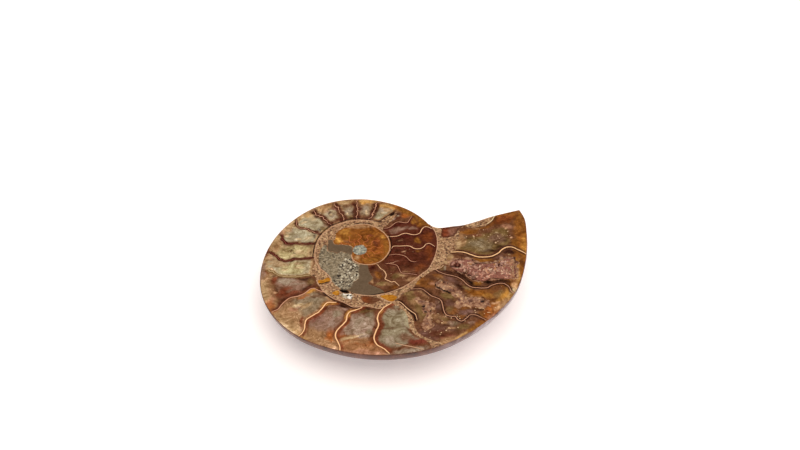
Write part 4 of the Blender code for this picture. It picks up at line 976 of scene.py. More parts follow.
def sink(spots, fields):
    """How far below the polish each point of the face lies, and how deep in a pit."""
    coarse, fine = wander(spots, 1.6, 21, 2), wander(spots, 0.8, 22, 2)
    hollow = np.clip(0.45 + 0.45 * coarse + 0.3 * fine, 0.06, 1.6)
    depth = ease(0, 0.9, fields["druse"] + 0.25 * fine) * hollow
    depth += ease(0.1, 0.9, fields["sparkle"]) * np.clip(0.05 + 0.14 * fine, 0, 0.4)
    depth += ease(-0.1, 0.8, fields["white_grains"]) * np.clip(0.15 + 0.3 * fine, 0, 0.6)
    depth = np.maximum(depth, ease(-0.1, 1.1, fields["pocket"]) * POCKET_DEPTH)
    pit = np.zeros(len(spots))
    for x, y, length, width, deep, direction in PITS.values():
        far = oval_share(spots, x, y, length, width, direction) * 2 + 0.18 * fine
        pit = np.maximum(pit, deep * np.sqrt(np.clip(1 - far**2, 0, 1)))
    return np.maximum(depth, pit), pit


# ---------------------------------------------------------------- the back, in the same spiral


def paint_back(spots):
    """What the shell and the ground window read.

    For each point: how brown it is stained, where it is along the whorls and across one, how far it lies
    from the seam between whorls, and how far inside the window that is ground flat.
    """
    turn, radius = np.arctan2(spots[:, 1], spots[:, 0]), np.maximum(np.hypot(*spots.T), 0.6)
    count = (np.log(radius / SPIRAL_RADIUS) / SPIRAL_GROWTH - turn) / math.tau
    across = np.ceil(count) - count
    seam = radius - SPIRAL_RADIUS * np.exp(SPIRAL_GROWTH * (turn + math.tau * np.round(count)))
    degrees = np.degrees(turn) % 360
    return {
        "stained": ease(145, 175, degrees) * ease(318, 294, degrees) * ease(14, 5, rim_distance(spots)),
        "across": across,
        "along": np.degrees(turn) + 360 * np.ceil(count),
        "whorl_seam": np.abs(seam),
        "whorl_seam_side": seam,
        "window": rim_distance(spots) - DOME_WIDTH + 1.5 + 0.5 * wander(spots, 3.0, 41),
    }


# ---------------------------------------------------------------- finishes


CALCITE_IOR, NACRE_IOR, TABLE_IOR = 1.56, 1.53, 1.45
PALE_SHELL, RUST_WALL, SHADOW = "#C69A78", "#B5622F", "#1E0D08"
PALE_GRAIN, POCKET_FLOOR = "#DDB78C", "#4A261C"
SUTURE_EDGE, SUTURE_LINE, WALL_LINE, SEAM_LINE = "#5E4A4C", "#D9C4AC", "#DDB28C", "#C9A98A"
WALL_CORE_TINT = (1.4, 1.5, 1.5, 1)  # how much paler a wall is in its middle

# What a node is set to do, and what turns an even noise into a line's wandering, in mm.
SMOOTH = {"interpolation_type": "SMOOTHSTEP"}
COLOURS = {"data_type": "RGBA"}
TINTING = {"data_type": "RGBA", "blend_type": "MULTIPLY"}
PLUS, MINUS, TIMES = {"operation": "ADD"}, {"operation": "SUBTRACT"}, {"operation": "MULTIPLY"}
TIMES_PLUS, POWER = {"operation": "MULTIPLY_ADD"}, {"operation": "POWER"}
LESSER, GREATER = {"operation": "MINIMUM"}, {"operation": "MAXIMUM"}
WOBBLE = {"From Min": 0.3, "From Max": 0.7, "To Min": -0.25, "To Max": 0.25}


def add(tree, kind, inputs=(), out=0, stops=(), **settings):
    """Adds a node, makes its settings, fills or links its sockets, and returns one of its outputs."""
    node = tree.nodes.new("ShaderNode" + kind)
    for name, value in settings.items():
        setattr(node, name, value)
    for i, (position, code) in enumerate(stops):
        stop = node.color_ramp.elements[i] if i < 2 else node.color_ramp.elements.new(position)
        stop.position, stop.color = position, linear(code)
    for name, value in dict(inputs).items():
        sockets = [s for s in node.inputs if s.enabled and name in (s.name, s.identifier)]
        socket = node.inputs[name] if isinstance(name, int) else sockets[0]
        if isinstance(value, bpy.types.NodeSocket):
            tree.links.new(value, socket)
        else:
            socket.default_value = value
    ready = [s for s in node.outputs if s.enabled]
    return ready[out] if isinstance(out, int) else node.outputs[out]


def new_finish(name, ior):
    """A material with this index of refraction, its tree and its shader."""
    made = bpy.data.materials.new(name)
    made.use_nodes = True
    shader = made.node_tree.nodes["Principled BSDF"]
    shader.inputs["IOR"].default_value = ior
    return made, made.node_tree, shader


def lay_over(tree, base, wobble, layers):
    """Lays layers over a base of colour, roughness and height, and returns what shows.

    Each layer is where it lies in mm, how soft its edge is, how far that edge wanders, how much it
    covers, and its own colour, roughness and height.
    """
    for where, soft, ragged, cover, *paint in layers:
        strayed = add(tree, "Math", {0: wobble, 1: ragged, 2: where}, **TIMES_PLUS)
        edge = {"Value": strayed, "From Min": -soft, "From Max": soft, "To Max": cover}
        share = add(tree, "MapRange", edge, **SMOOTH)
        base = [
            add(tree, "Mix", {"Factor": share, "A": below, "B": above}, **kind)
            for below, above, kind in zip(base, paint, (COLOURS, {}, {}))
        ]
    return base


def finish_with(made, tree, shader, look, relief):
    """Links a look of colour, roughness and height to its shader, with the relief's full height in mm."""
    colour, roughness, height = look
    tree.links.new(colour, shader.inputs["Base Color"])
    tree.links.new(roughness, shader.inputs["Roughness"])
    normal = add(tree, "Bump", {"Height": height, "Distance": relief * MM, "Strength": 1.0})
    tree.links.new(normal, shader.inputs["Normal"])
    return made


FACE_FIELDS = (
    "septum", "septum_side", "septum_half", "septum_seam", "mudstone", "grey_mudstone", "smooth_mudstone",
    "sparkle", "white_grains", "resin", "first_chamber", "first_whorl", "inner_wall", "inner_wall_side",
    "shell_line", "shell_line_side", "dark_line", "dark_line_side", "druse", "pocket", "specks", "pit",
)


def line_distance(tree, field, line):
    """The distance from a drawn line, exact between the mesh's points where the side's sign changes."""
    exact = add(tree, "Math", {0: field[line + "_side"]}, operation="ABSOLUTE")
    nearly = add(tree, "Math", {0: field[line], 1: FACE_STEP}, **MINUS)
    return add(tree, "Math", {0: exact, 1: nearly}, **GREATER)


def face_finish():
    """Lapped calcite, aragonite and mudstone, ground flat and polished as one face.

    The calcite takes a wet-looking polish and is cloudy inside, the walls between chambers stay pale and
    crisp, and the mudstone keeps a speckled, duller polish.
    """
    made, t, shader = new_finish("lapped_calcite_and_mudstone", CALCITE_IOR)
    place = add(t, "TexCoord", out="Object")
    field = {name: add(t, "Attribute", out="Fac", attribute_name=name) for name in FACE_FIELDS}

    # Lumps per metre: calcite crystals of 2.4 mm that lie along the cut, flecks of 0.7 mm in them, and silt
    # of 0.6 and 1 mm. The silt is drawn twice as coarse as the real grains so that it shows.
    lying = add(t, "Mapping", {"Vector": place, "Scale": (1, 1.7, 1)})
    veins = add(t, "TexNoise", {
        "Vector": lying, "Scale": 420, "Detail": 6, "Roughness": 0.68, "Distortion": 0.9})
    flecks = add(t, "TexNoise", {"Vector": place, "Scale": 1500, "Detail": 3, "Roughness": 0.6})
    silt = add(t, "TexVoronoi", {"Vector": place, "Scale": 1700}, "Color")
    silt = add(t, "SeparateColor", {"Color": silt})
    grit = add(t, "TexVoronoi", {"Vector": place, "Scale": 1050}, "Color")
    grit = add(t, "SeparateColor", {"Color": grit})
    fine_share = add(t, "Math", {0: flecks, 1: 0.45}, **TIMES)
    mixed = add(t, "Math", {0: silt, 1: 0.55, 2: fine_share}, **TIMES_PLUS)
    wobble = add(t, "MapRange", {"Value": flecks, **WOBBLE})

    # Calcite: its cloud colours, lighter and darker in folds of 5 mm and along its crystals, with healed
    # cracks 3 mm apart in some places. It is warmer where it is dark, as one looks deeper into it there.
    clouds = add(t, "Attribute", out="Color", attribute_name="calcite")
    deep = add(t, "MapRange", {
        "Value": veins, "From Min": 0.32, "From Max": 0.68, "To Min": 0.8, "To Max": 1.16})
    folds = add(t, "TexNoise", {
        "Vector": place, "Scale": 190, "Detail": 9, "Roughness": 0.66, "Distortion": 1.9})
    marble = add(t, "MapRange", {
        "Value": folds, "From Min": 0.36, "From Max": 0.66, "To Min": 0.56, "To Max": 1.55})
    sharp = add(t, "MapRange", {
        "Value": flecks, "From Min": 0.35, "From Max": 0.65, "To Min": 0.9, "To Max": 1.1})
    sway = add(t, "TexNoise", {"Vector": place, "Scale": 260}, "Color")
    bent = add(t, "Mix", {"Factor": 0.004, "A": place, "B": sway}, data_type="VECTOR")
    cracks = add(t, "TexVoronoi", {"Vector": bent, "Scale": 330}, "Distance", feature="DISTANCE_TO_EDGE")
    cracked = add(t, "MapRange", {
        "Value": cracks, "From Min": 0.0, "From Max": 0.07, "To Min": 0.5, "To Max": 0}, **SMOOTH)
    some = add(t, "MapRange", {"Value": folds, "From Min": 0.5, "From Max": 0.58}, **SMOOTH)
    whole = add(t, "Math", {0: 1.0, 1: add(t, "Math", {0: cracked, 1: some}, **TIMES)}, **MINUS)
    tone = add(t, "Math", {0: add(t, "Math", {0: deep, 1: sharp}, **TIMES), 1: marble}, **TIMES)
    tone = add(t, "Math", {0: tone, 1: whole}, **TIMES)
    green = add(t, "Math", {0: tone, 1: 1.2}, **POWER)
    blue = add(t, "Math", {0: tone, 1: 1.5}, **POWER)
    tones = add(t, "CombineColor", {"Red": tone, "Green": green, "Blue": blue})
    base = [
        add(t, "Mix", {"Factor": 1.0, "A": clouds, "B": tones}, **TINTING),
        add(t, "MapRange", {"Value": flecks, "To Min": 0.1, "To Max": 0.24}),
        add(t, "Math", {0: veins, 1: 0.15}, **TIMES),
    ]

    # Pale grains, at most one in each cell of 0.9 mm.
    grain = add(t, "TexVoronoi", {"Vector": bent, "Scale": 1150}, "Distance")
    cell = add(t, "TexVoronoi", {"Vector": bent, "Scale": 1150}, "Color")
    rare = add(t, "MapRange", {
        "Value": add(t, "SeparateColor", {"Color": cell}, 1), "From Min": 0.62, "To Min": -0.1,
        "To Max": 0.42,
    })
    few = add(t, "Math", {0: rare, 1: field["specks"]}, **TIMES)
    speck = add(t, "Math", {0: few, 1: grain}, **MINUS)

    mud = add(t, "ValToRGB", {"Fac": mixed}, stops=[
        (0.16, "#28170F"), (0.27, "#664631"), (0.38, "#8B6645"),
        (0.5, "#9E7954"), (0.6, "#A87A5B"), (0.74, "#C9A67B")])
    grey = add(t, "ValToRGB", {"Fac": mixed}, stops=[
        (0.2, "#4A4034"), (0.34, "#73664F"), (0.48, "#847459"), (0.62, "#8F7F66"), (0.74, "#A3957C")])
    glitter = add(t, "ValToRGB", {"Fac": silt}, stops=[
        (0.0, "#261F17"), (0.12, "#51463A"), (0.3, "#7C6F5B"),
        (0.62, "#93846D"), (0.9, "#B2A68C"), (1.0, "#DCD3BB")])
    smooth = add(t, "ValToRGB", {"Fac": flecks}, stops=[(0.3, "#5A4834"), (0.7, "#6E5A45")])
    white = add(t, "ValToRGB", {"Fac": grit}, stops=[(0.0, "#3E3226"), (0.3, "#A8987C"), (0.6, "#F4EFE2")])
    amber = add(t, "ValToRGB", {"Fac": veins}, stops=[(0.3, "#7A3F0E"), (0.5, "#B37318"), (0.7, "#D09A44")])
    chamber = add(t, "ValToRGB", {"Fac": mixed}, stops=[
        (0.25, "#63645C"), (0.5, "#8C8D81"), (0.75, "#BDB9A2")])
    grown = add(t, "TexNoise", {
        "Vector": place, "Scale": 520, "Detail": 5, "Roughness": 0.6, "Distortion": 0.5})
    druse = add(t, "ValToRGB", {"Fac": grown}, stops=[
        (0.3, "#2F160D"), (0.38, "#6A4231"), (0.46, "#8C6046"),
        (0.55, "#A67C60"), (0.62, "#BE936C"), (0.72, "#E6C99C")])
    septum = add(t, "Attribute", out="Color", attribute_name="septum_tint")
    core = add(t, "Mix", {"Factor": 1.0, "A": septum, "B": WALL_CORE_TINT}, **TINTING)
    seam = add(t, "Attribute", out="Color", attribute_name="seam_tint")

    # How far inside each drawn line a spot lies: its half width, less the distance from the line.
    septum_off = line_distance(t, field, "septum")
    walls = add(t, "Math", {0: field["septum_half"], 1: septum_off}, **MINUS)
    seams = add(t, "Math", {0: field["septum_seam"], 1: septum_off}, **MINUS)
    core_half = add(t, "Math", {0: field["septum_half"], 1: 0.4}, **TIMES)
    cores = add(t, "Math", {0: core_half, 1: septum_off}, **MINUS)
    inner = add(t, "Math", {0: 0.13, 1: line_distance(t, field, "inner_wall")}, **MINUS)
    inner = add(t, "Math", {0: inner, 1: field["first_whorl"]}, **LESSER)
    shell = add(t, "Math", {0: 0.17, 1: line_distance(t, field, "shell_line")}, **MINUS)
    dark = add(t, "Math", {0: 0.22, 1: line_distance(t, field, "dark_line")}, **MINUS)
    deep_pit = add(t, "Math", {0: field["pit"], 1: 0.55}, **MINUS)

    base = lay_over(t, base, wobble, [
        (speck, 0.06, 0.2, 1.0, linear(PALE_GRAIN), 0.3, 0.5),
        (seams, 0.18, 0.3, 1.0, seam, 0.2, 0.1),
        (walls, 0.07, 0.12, 1.0, septum, 0.3, 0.3),
        (cores, 0.08, 0.0, 1.0, core, 0.3, 0.4),
        (inner, 0.08, 0.15, 1.0, linear(RUST_WALL), 0.3, 0.3),
        (field["mudstone"], 0.16, 1.0, 1.0, mud, 0.42, silt),
        (field["smooth_mudstone"], 0.18, 0.6, 1.0, smooth, 0.3, 0.4),
        (field["grey_mudstone"], 0.2, 1.0, 1.0, grey, 0.45, silt),
        (field["sparkle"], 0.5, 1.6, 1.0, glitter, 0.36, silt),
        (field["first_chamber"], 0.3, 1.4, 1.0, chamber, 0.4, silt),
        (field["resin"], 0.14, 0.5, 1.0, amber, 0.16, 0.4),
        (field["white_grains"], 0.2, 1.5, 1.0, white, 0.4, grit),
        (field["druse"], 0.25, 1.6, 1.0, druse, 0.45, grown),
        (dark, 0.12, 0.5, 1.0, linear(SHADOW), 0.4, 0.0),
        (shell, 0.09, 0.25, 1.0, linear(PALE_SHELL), 0.32, 0.4),
        (field["pocket"], 0.3, 0.6, 1.0, linear(POCKET_FLOOR), 0.6, mixed),
        (deep_pit, 0.3, 0.4, 1.0, linear(SHADOW), 0.6, 0.0),
    ])
    return finish_with(made, t, shader, base, 0.05)


BACK_FIELDS = ("along", "across", "whorl_seam", "whorl_seam_side", "window", "stained")
SUTURE_DEGREES = 11.5  # from one wall's edge to the next, along the flank
SUTURES_REACH = 18.0  # mm out from the ground window
WALL_DEGREES = 15.0  # from one wall of the inner whorl to the next


def frill(tree, across, waves, height):
    """A zigzag of so many waves over the flank, this many degrees high."""
    share = add(tree, "Math", {0: across, 1: waves}, **TIMES)
    zigzag = add(tree, "Math", {0: share, 1: 0.5}, operation="PINGPONG")
    return add(tree, "Math", {0: zigzag, 1: 2 * height}, **TIMES)


def repeat_line(tree, along, spacing, width):
    """Above nought within this many degrees of a line that comes back at this spacing."""
    share = add(tree, "Math", {0: along, 1: spacing / 2}, operation="PINGPONG")
    return add(tree, "Math", {0: width, 1: share}, **MINUS)


def shell_finish():
    """Tumble-polished outer shell: thin nacre over brown calcite, worn through at the walls' frilled edges.

    It gives a satin lilac-grey sheen with fern-like cream lines. The flattest part of the flank is
    ground away and shows the inner whorl: mahogany calcite, thin cream walls and a ring of mudstone.
    """
    made, t, shader = new_finish("tumbled_nacreous_shell", NACRE_IOR)
    place = add(t, "TexCoord", out="Object")
    field = {name: add(t, "Attribute", out="Fac", attribute_name=name) for name in BACK_FIELDS}

    # Lumps per metre: clouds of 9 mm in the nacre, with flecks and grains of 0.9 mm.
    veins = add(t, "TexNoise", {
        "Vector": place, "Scale": 110, "Detail": 7, "Roughness": 0.62, "Distortion": 1.4})
    flecks = add(t, "TexNoise", {"Vector": place, "Scale": 1100, "Detail": 3})
    silt = add(t, "TexVoronoi", {"Vector": place, "Scale": 1100}, "Color")
    silt = add(t, "SeparateColor", {"Color": silt})
    wobble = add(t, "MapRange", {"Value": flecks, **WOBBLE})
    speck = add(t, "MapRange", {
        "Value": flecks, "From Min": 0.3, "From Max": 0.7, "To Min": 0.82, "To Max": 1.18})
    worn = add(t, "ValToRGB", {"Fac": veins}, stops=[
        (0.3, "#4E2F28"), (0.42, "#7A5850"), (0.5, "#8F7C7E"),
        (0.6, "#A3939A"), (0.68, "#B7A5A2"), (0.76, "#D9BE95")])
    thin = add(t, "ValToRGB", {"Fac": veins}, stops=[
        (0.3, "#2E140B"), (0.45, "#562B19"), (0.55, "#683A28"), (0.66, "#8A5B40"), (0.78, "#C9A07A")])
    nacre = add(t, "Mix", {"Factor": field["stained"], "A": worn, "B": thin}, **COLOURS)
    base = [
        add(t, "Mix", {"Factor": 1.0, "A": nacre, "B": speck}, **TINTING),
        add(t, "MapRange", {"Value": veins, "To Min": 0.2, "To Max": 0.4}),
        add(t, "Math", {0: flecks, 1: 0.2}, **TIMES),
    ]

    # The frilled edges of the walls: lobes, folds on the lobes, and teeth on the folds.
    edge = field["along"]
    for waves, height in ((3.5, 5.0), (14, 1.9), (47, 0.7)):
        edge = add(t, "Math", {0: edge, 1: frill(t, field["across"], waves, height)}, **PLUS)
    on_shell = add(t, "Math", {0: field["window"], 1: SUTURES_REACH}, **PLUS)
    suture = add(t, "Math", {0: repeat_line(t, edge, SUTURE_DEGREES, 0.32), 1: on_shell}, **LESSER)
    suture_shade = add(t, "Math", {0: repeat_line(t, edge, SUTURE_DEGREES, 1.3), 1: on_shell}, **LESSER)

    # Walls of the inner whorl, bent back towards its outer side and wavy over 10 mm.
    bend = add(t, "Math", {0: field["across"], 1: 2.0}, **POWER)
    swept = add(t, "Math", {0: bend, 1: 24.0, 2: field["along"]}, **TIMES_PLUS)
    waves = add(t, "TexNoise", {"Vector": place, "Scale": 95, "Detail": 3})
    swept = add(t, "Math", {0: waves, 1: 22.0, 2: swept}, **TIMES_PLUS)
    wall = add(t, "Math", {0: repeat_line(t, swept, WALL_DEGREES, 0.7), 1: field["window"]}, **LESSER)
    chamber = add(t, "ValToRGB", {"Fac": veins}, stops=[
        (0.3, "#3E1C15"), (0.45, "#5F3226"), (0.55, "#6E4440"), (0.68, "#8A625A"), (0.78, "#A9743F")])

    # Mudstone in the seam between whorls and round the window, and the line of the seam itself.
    mud = add(t, "ValToRGB", {"Fac": silt}, stops=[
        (0.0, "#4A3426"), (0.2, "#7C5F47"), (0.5, "#A1805F"), (0.8, "#B48D70"), (1.0, "#D3B48C")])
    near_seam = add(t, "Math", {0: 2.6, 1: field["whorl_seam"]}, **MINUS)
    ring = add(t, "Math", {0: near_seam, 1: field["window"]}, **LESSER)
    off_window = add(t, "Math", {0: field["window"]}, operation="ABSOLUTE")
    border = add(t, "Math", {0: 2.2, 1: off_window}, **MINUS)
    matrix = add(t, "Math", {0: ring, 1: border}, **GREATER)
    seam = add(t, "Math", {0: 0.3, 1: line_distance(t, field, "whorl_seam")}, **MINUS)
    inward = add(t, "Math", {0: field["window"], 1: 5.0}, **PLUS)
    seam = add(t, "Math", {0: seam, 1: inward}, **LESSER)

    base = lay_over(t, base, wobble, [
        (suture_shade, 0.5, 0.6, 0.45, linear(SUTURE_EDGE), 0.3, 0.2),
        (suture, 0.12, 0.3, 1.0, linear(SUTURE_LINE), 0.35, 0.4),
        (field["window"], 0.2, 0.8, 1.0, chamber, 0.25, 0.3),
        (wall, 0.25, 0.1, 1.0, linear(WALL_LINE), 0.3, 0.4),
        (matrix, 0.3, 2.0, 1.0, mud, 0.5, silt),
        (seam, 0.1, 0.2, 1.0, linear(SEAM_LINE), 0.35, 0.4),
    ])
    return finish_with(made, t, shader, base, 0.05)


def crystal_finish():
    """Calcite druse as it grew: small blunt rhombs, iron-stained pink and tan, glassy on their faces.

    Flecks of half a millimetre keep the rhombs' faces from looking flat.
    """
    made, t, shader = new_finish("iron_stained_calcite_druse", CALCITE_IOR)
    place = add(t, "TexCoord", out="Object")
    # These colours are the crystals' own tints with painted shade in the hollows and painted light at the
    # lower brim.
    tint = add(t, "Attribute", out="Color", attribute_name="crystal_tint_and_painted_shading")
    flecks = add(t, "TexNoise", {"Vector": place, "Scale": 1800, "Detail": 3})
    tone = add(t, "MapRange", {
        "Value": flecks, "From Min": 0.3, "From Max": 0.7, "To Min": 0.75, "To Max": 1.25})
    colour = add(t, "Mix", {"Factor": 1.0, "A": tint, "B": tone}, **TINTING)
    roughness = add(t, "MapRange", {"Value": flecks, "To Min": 0.2, "To Max": 0.5})
    return finish_with(made, t, shader, (colour, roughness, flecks), 0.04)


# ---------------------------------------------------------------- making the pieces
FAR_OUTSIDE = -9.0  # what every distance inside an outline says on the back


def new_piece(name, points, triangles, fields, tints, finishes):
    """A mesh object from points in the spiral's mm, with attributes, put where the solid has it."""
    mesh = bpy.data.meshes.new(name)
    world = (points - [*OUTLINE_MIDDLE, -HALF_THICKNESS]) * MM
    mesh.from_pydata(world.tolist(), [], triangles.tolist())
    for field, values in fields.items():
        mesh.attributes.new(field, "FLOAT", "POINT").data.foreach_set("value", values.astype(np.float32))
    for tint, values in tints.items():
        four = np.concatenate([values, np.ones((len(values), 1))], 1).astype(np.float32)
        mesh.attributes.new(tint, "FLOAT_COLOR", "POINT").data.foreach_set("color", four.ravel())
    for finish in finishes:
        mesh.materials.append(finish)
    made = bpy.data.objects.new(name, mesh)
    bpy.context.scene.collection.objects.link(made)
    return made


def spread(values, kept, blank):
    """Values of the kept points put back among all points, where the others have a blank."""
    spread_out = np.tile(np.asarray(blank, float), (len(kept),) + (1,) * np.ndim(blank))
    spread_out[kept] = values
    return spread_out


def make_stone():
    """The fossil half: its mesh, with what its face and its back show, and its pits sunk in."""
    first_tip, last_tip = np.array((*SEEN_FROM, 0.0)), np.array((*SEEN_FROM, -HALF_THICKNESS))
    spots, heights, zones, triangles = weld_rings(stone_rings(), first_tip, last_tip)
    top = zones != SHELL
    below = np.where(zones[top] == FACE, 0, -heights[top])
    # Down the sawn end, the face's pattern drifts along the spiral and its mudstone thins out raggedly.
    shown = spots[top] + np.stack([0.9 * np.sin(0.5 * below), -0.35 * below], -1)
    fields, tints = paint_face(shown)
    fields["mudstone"] -= 0.34 * below + 0.6 * ease(0.5, 3, below) * wander(shown, 2.4, 43)
    depth, fields["pit"] = sink(spots[top], fields)
    heights[top] -= depth * ((zones[top] == FACE) * ease(0.1, 0.6, fields.pop("from_rim")))
    all_fields = {name: spread(values, top, FAR_OUTSIDE) for name, values in fields.items()}
    all_fields.update(paint_back(spots))
    all_tints = {name: spread(values, top, mineral("brown")) for name, values in tints.items()}
    points = np.concatenate([spots, heights[:, None]], 1)
    finishes = [face_finish(), shell_finish()]
    stone = new_piece("polished_half", points, triangles, all_fields, all_tints, finishes)
    corner_zones = zones[triangles]
    on_face = ((corner_zones == FACE) | (corner_zones == SAWN)).all(1)
    stone.data.polygons.foreach_set("material_index", np.where(on_face, 0, 1).astype(np.int32))
    stone.data.shade_smooth()
    stone.data.set_sharp_from_angle(angle=math.radians(38))
    return stone


POCKET_MIDDLE = np.array((49.0, -9.6))
POCKET_REACH = 14  # from its middle to its wall, about
POCKET_CREVICE = [(35.4, -6.6), (37.2, -6.9), (39.4, -8.2), (41.0, -9.6), (42.6, -11.8), (43.6, -13.4)]
CRUST_STEP = 0.45
CRUST_GAP = 0.15  # from the pocket's wall and floor
BED_TOP = -0.1  # the bed never stands higher, and the face is at nought
BED_POINTS, UNDERSIDE_POINTS = 150, 120  # in a full ring
BED_COLOUR = "#8A5646"
CRYSTALS = 900
CRYSTAL_SIZES = (0.7, 2.6)
CRYSTAL_TOP = -0.08
BARE_BELOW = -1.8  # no crystals stand on the bed where it is deeper than this
CRYSTAL_TINTS = [  # and how many parts of each
    ("#B68773", 8), ("#A8745F", 6), ("#8F5846", 3), ("#C89C83", 4), ("#DCBA9C", 2), ("#5E2F23", 2),
    ("#C08A58", 1),
]


def crust_top(spots, edge):
    """How high the druse's bed stands at these spots: a lumpy floor a little under the face.

    It rises at the chamber's wall and at the lower brim, sinks into a crevice at the upper left, and
    never comes up to the face.
    """
    inside = within(spots, edge)
    lumps = 0.45 * wander(spots, 3.4, 31, 2) + 0.25 * wander(spots, 1.1, 32, 2)
    crevice = ease(1.5, 0.3, from_line(spots, np.array(POCKET_CREVICE))[0] + 0.5 * lumps)
    brim = 0.25 * ease(-11.5, -14, spots[:, 1])
    bed = -0.55 + brim + 0.3 * ease(1.2, 0, inside) + np.clip(1.3 * lumps, -1.6, 0.4) - 1.9 * crevice
    return np.minimum(bed, BED_TOP)


def druse_bed(rng, edge):
    """The druse's bed: its points, triangles and colours, darker in its hollows by painted shade."""
    rings = [
        (ring, crust_top(ring, edge), np.zeros(len(ring), int))
        for ring in filling_rings(edge, POCKET_MIDDLE, BED_POINTS, int(POCKET_REACH / CRUST_STEP))
    ]
    floor = CRUST_GAP - POCKET_DEPTH
    for size, depth_share in ((0.99, 0.5), (0.9, 0.9), (0.6, 1.0), (0.2, 1.0)):
        ring = POCKET_MIDDLE + (evenly(edge, UNDERSIDE_POINTS) - POCKET_MIDDLE) * size
        rings.append((ring, np.full(len(ring), floor * depth_share), np.zeros(len(ring), int)))
    first_tip = np.array((*POCKET_MIDDLE, crust_top(POCKET_MIDDLE[None], edge)[0]))
    spots, heights, _, triangles = weld_rings(rings, first_tip, np.array((*POCKET_MIDDLE, floor)))
    points = np.concatenate([spots, heights[:, None]], 1)
    colours = np.array([np.array(linear(BED_COLOUR)[:3]) * (0.75 + 0.5 * rng.random()) for _ in points])
    # Painted shade: the deeper the bed lies, the darker its colour.
    return points, triangles, colours * (0.3 + 0.7 * ease(-2.2, -0.7, heights))[:, None]


def crystal_points(rng, x, y, top, size):
    """The corners of one blunt rhomb, leaning at random, whose tip reaches this height."""
    lean = Matrix.Rotation(rng.uniform(0.2, 1.0), 3, "Y") @ Matrix.Rotation(rng.uniform(-0.6, 0.6), 3, "X")
    turn = Matrix.Rotation(rng.uniform(0, math.tau), 3, "Z")
    stretch = Vector((1, rng.uniform(0.7, 1), rng.uniform(0.8, 1.3)))
    corners = []
    for signs in product((-1, 1), repeat=3):
        corner = Vector(signs) * size / 2 * stretch
        corner.x += 0.25 * corner.z
        corners.append(turn @ lean @ corner)
    lift = top - max(corner.z for corner in corners)
    return [(corner.x + x, corner.y + y, corner.z + lift) for corner in corners]


def grow_crystals(rng, edge):
    """Small rhombs all over the bed: their points, triangles and colours. The deepest spots stay bare."""
    palette = [np.array(linear(code)[:3]) for code, share in CRYSTAL_TINTS for _ in range(share)]
    low, high = edge.min(0), edge.max(0)
    places = np.array([[rng.uniform(low[k], high[k]) for k in (0, 1)] for _ in range(CRYSTALS)])
    form = bmesh.new()
    tint_layer = form.verts.layers.float_color.new("crystal_tint_and_painted_shading")
    for (x, y), free, top in zip(places, within(places, edge), crust_top(places, edge)):
        size = min(rng.uniform(*CRYSTAL_SIZES), 2 * free)
        golden = 0.7 * ease(56.5, 60.5, x)
        tint = rng.choice(palette) * (1 - golden) + mineral("tan") * golden
        # Painted shade darkens the crystals deep in the bed, and painted light brightens those at the
        # pocket's lower brim.
        hollow, brim = 0.45 + 0.55 * ease(-1.6, -0.5, top), 1 + 0.25 * ease(-11, -14, y)
        tint = tint * rng.uniform(0.8, 1.2) * hollow * brim
        if size < CRYSTAL_SIZES[0] or top < BARE_BELOW:
            continue
        tip = min(top + size * rng.uniform(0.25, 0.5), CRYSTAL_TOP)
        corners = [form.verts.new(p) for p in crystal_points(rng, x, y, tip, size)]
        for corner in corners:
            corner[tint_layer] = (*tint, 1.0)
        bmesh.ops.convex_hull(form, input=corners)
    form.verts.index_update()
    points = np.array([vert.co[:] for vert in form.verts])
    colours = np.array([tuple(vert[tint_layer])[:3] for vert in form.verts])
    triangles = np.array([[vert.index for vert in face.verts] for face in form.faces])
    form.free()
    return points, triangles, colours


def make_crystals():
    """The druse in the open chamber: a lumpy bed of calcite with small rhombs grown all over it."""
    rng = random.Random(17)
    edge = drawn_in(curve(POCKET_OUTLINE, 6, True), CRUST_GAP, POCKET_MIDDLE)
    bed, bed_triangles, bed_colours = druse_bed(rng, edge)
    grown, grown_triangles, grown_colours = grow_crystals(rng, edge)
    points = np.concatenate([bed, grown])
    triangles = np.concatenate([bed_triangles, grown_triangles + len(bed)])
    tints = {"crystal_tint_and_painted_shading": np.concatenate([bed_colours, grown_colours])}
    return new_piece("pocket_druse", points, triangles, {}, tints, [crystal_finish()])


# ---------------------------------------------------------------- floor, light and camera


def make_floor():
    """A plain matt white light table under the stone, which keeps its shadow pale."""
    bpy.ops.mesh.primitive_plane_add(size=30)
    floor = bpy.context.object
    floor.name = "floor"
    made, _, shader = new_finish("opal_acrylic_table", TABLE_IOR)
    shader.inputs["Base Color"].default_value = linear("#F7F2F1")
    shader.inputs["Roughness"].default_value = 0.9
    shader.inputs["Emission Color"].default_value = linear("#FFF6F6")
    shader.inputs["Emission Strength"].default_value = 0.34
    floor.data.materials.append(made)


def add_lamp(name, direction, spread, power):
    """A far, broad lamp in this direction, as wide as this angle, which lights the whole table evenly."""
    lamp = bpy.data.lights.new(name, "SUN")
    lamp.angle = spread
    lamp.energy = power
    lamp.color = linear("#FFF9F3")[:3]
    made = bpy.data.objects.new(name, lamp)
    bpy.context.scene.collection.objects.link(made)
    made.rotation_euler = (-Vector(direction)).to_track_quat("-Z", "Y").to_euler()
    return made


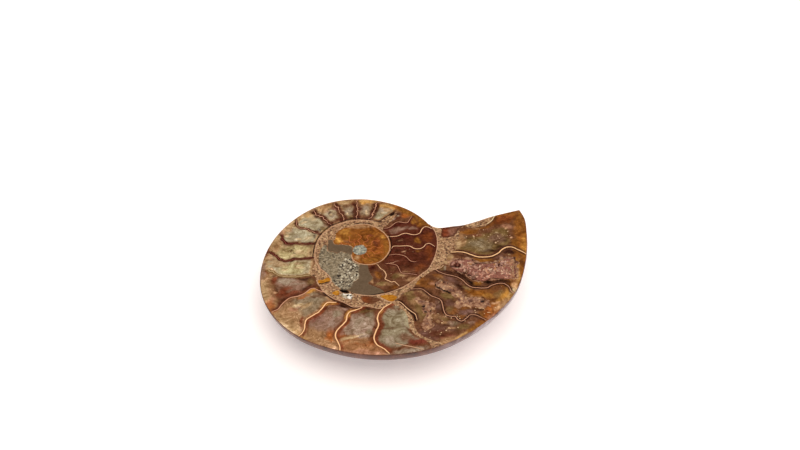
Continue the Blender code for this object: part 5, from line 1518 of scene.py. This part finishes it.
def light_studio():
    """A broad scrim overhead, a smaller soft box in front, and a dim room round them."""
    overhead = add_lamp("overhead_scrim", (0.12, 0.3, 1), math.radians(95), 3.0)
    overhead.visible_glossy = False  # too large and even to be seen in the polish
    add_lamp("front_softbox", (0.5, -1, 1.0), math.radians(50), 0.8)
    world = bpy.data.worlds.new("studio")
    bpy.context.scene.world = world
    world.use_nodes = True
    t = world.node_tree
    # The room is darker towards its ceiling, so that the polish doesn't go milky.
    height = add(t, "SeparateXYZ", {"Vector": add(t, "TexCoord", out="Generated")}, "Z")
    bright = add(t, "MapRange", {
        "Value": height, "From Min": 0.1, "From Max": 0.4, "To Min": 1.1, "To Max": 0.3}, **SMOOTH)
    t.links.new(bright, t.nodes["Background"].inputs["Strength"])


LENS_MM, SENSOR_MM = 49.5, 36.0
FRAME_SIZE = (800, 450)  # pixels, as the next line
CHAMBER_IN_FRAME = (366.505, 255.423)  # where the first chamber's centre stands
CAMERA_RISE = math.radians(43.099)  # above the face's plane
CAMERA_ROLL = -0.04943
CAMERA_DEPTH = 455.78 * MM  # from the lens to the first chamber, along the view


def place_camera():
    """The camera, put so that the first chamber stands at its place in the frame."""
    camera_data = bpy.data.cameras.new("camera")
    camera_data.lens, camera_data.sensor_width = LENS_MM, SENSOR_MM
    camera_data.clip_start, camera_data.clip_end = 0.01, 20
    camera = bpy.data.objects.new("camera", camera_data)
    bpy.context.scene.collection.objects.link(camera)
    pixels = FRAME_SIZE[0] * LENS_MM / SENSOR_MM
    across = (CHAMBER_IN_FRAME[0] - FRAME_SIZE[0] / 2) / pixels
    down = (CHAMBER_IN_FRAME[1] - FRAME_SIZE[1] / 2) / pixels
    chamber = Vector((across, -down, -1)) * CAMERA_DEPTH
    tilt = math.pi / 2 - CAMERA_RISE
    up = Vector((
        math.sin(tilt) * math.sin(CAMERA_ROLL), math.sin(tilt) * math.cos(CAMERA_ROLL), math.cos(tilt)))
    right = (Vector((1, 0, 0)) - up * up.x).normalized()
    turn = Matrix((right, up.cross(right), up))  # from the camera's axes to the stone's
    here = Vector((-OUTLINE_MIDDLE[0], -OUTLINE_MIDDLE[1], HALF_THICKNESS)) * MM
    camera.matrix_world = Matrix.Translation(here - turn @ chamber) @ turn.to_4x4()
    bpy.context.scene.camera = camera


OUTLINE_MIDDLE = (face_outline().min(0) + face_outline().max(0)) / 2

place_camera()
light_studio()
make_floor()
stone = make_stone()
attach(stone, "root")
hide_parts("ammonite_half")
crystals = make_crystals()
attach(crystals, "root")
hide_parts("pocket_crystals")
bpy.context.scene.view_settings.view_transform = "Standard"
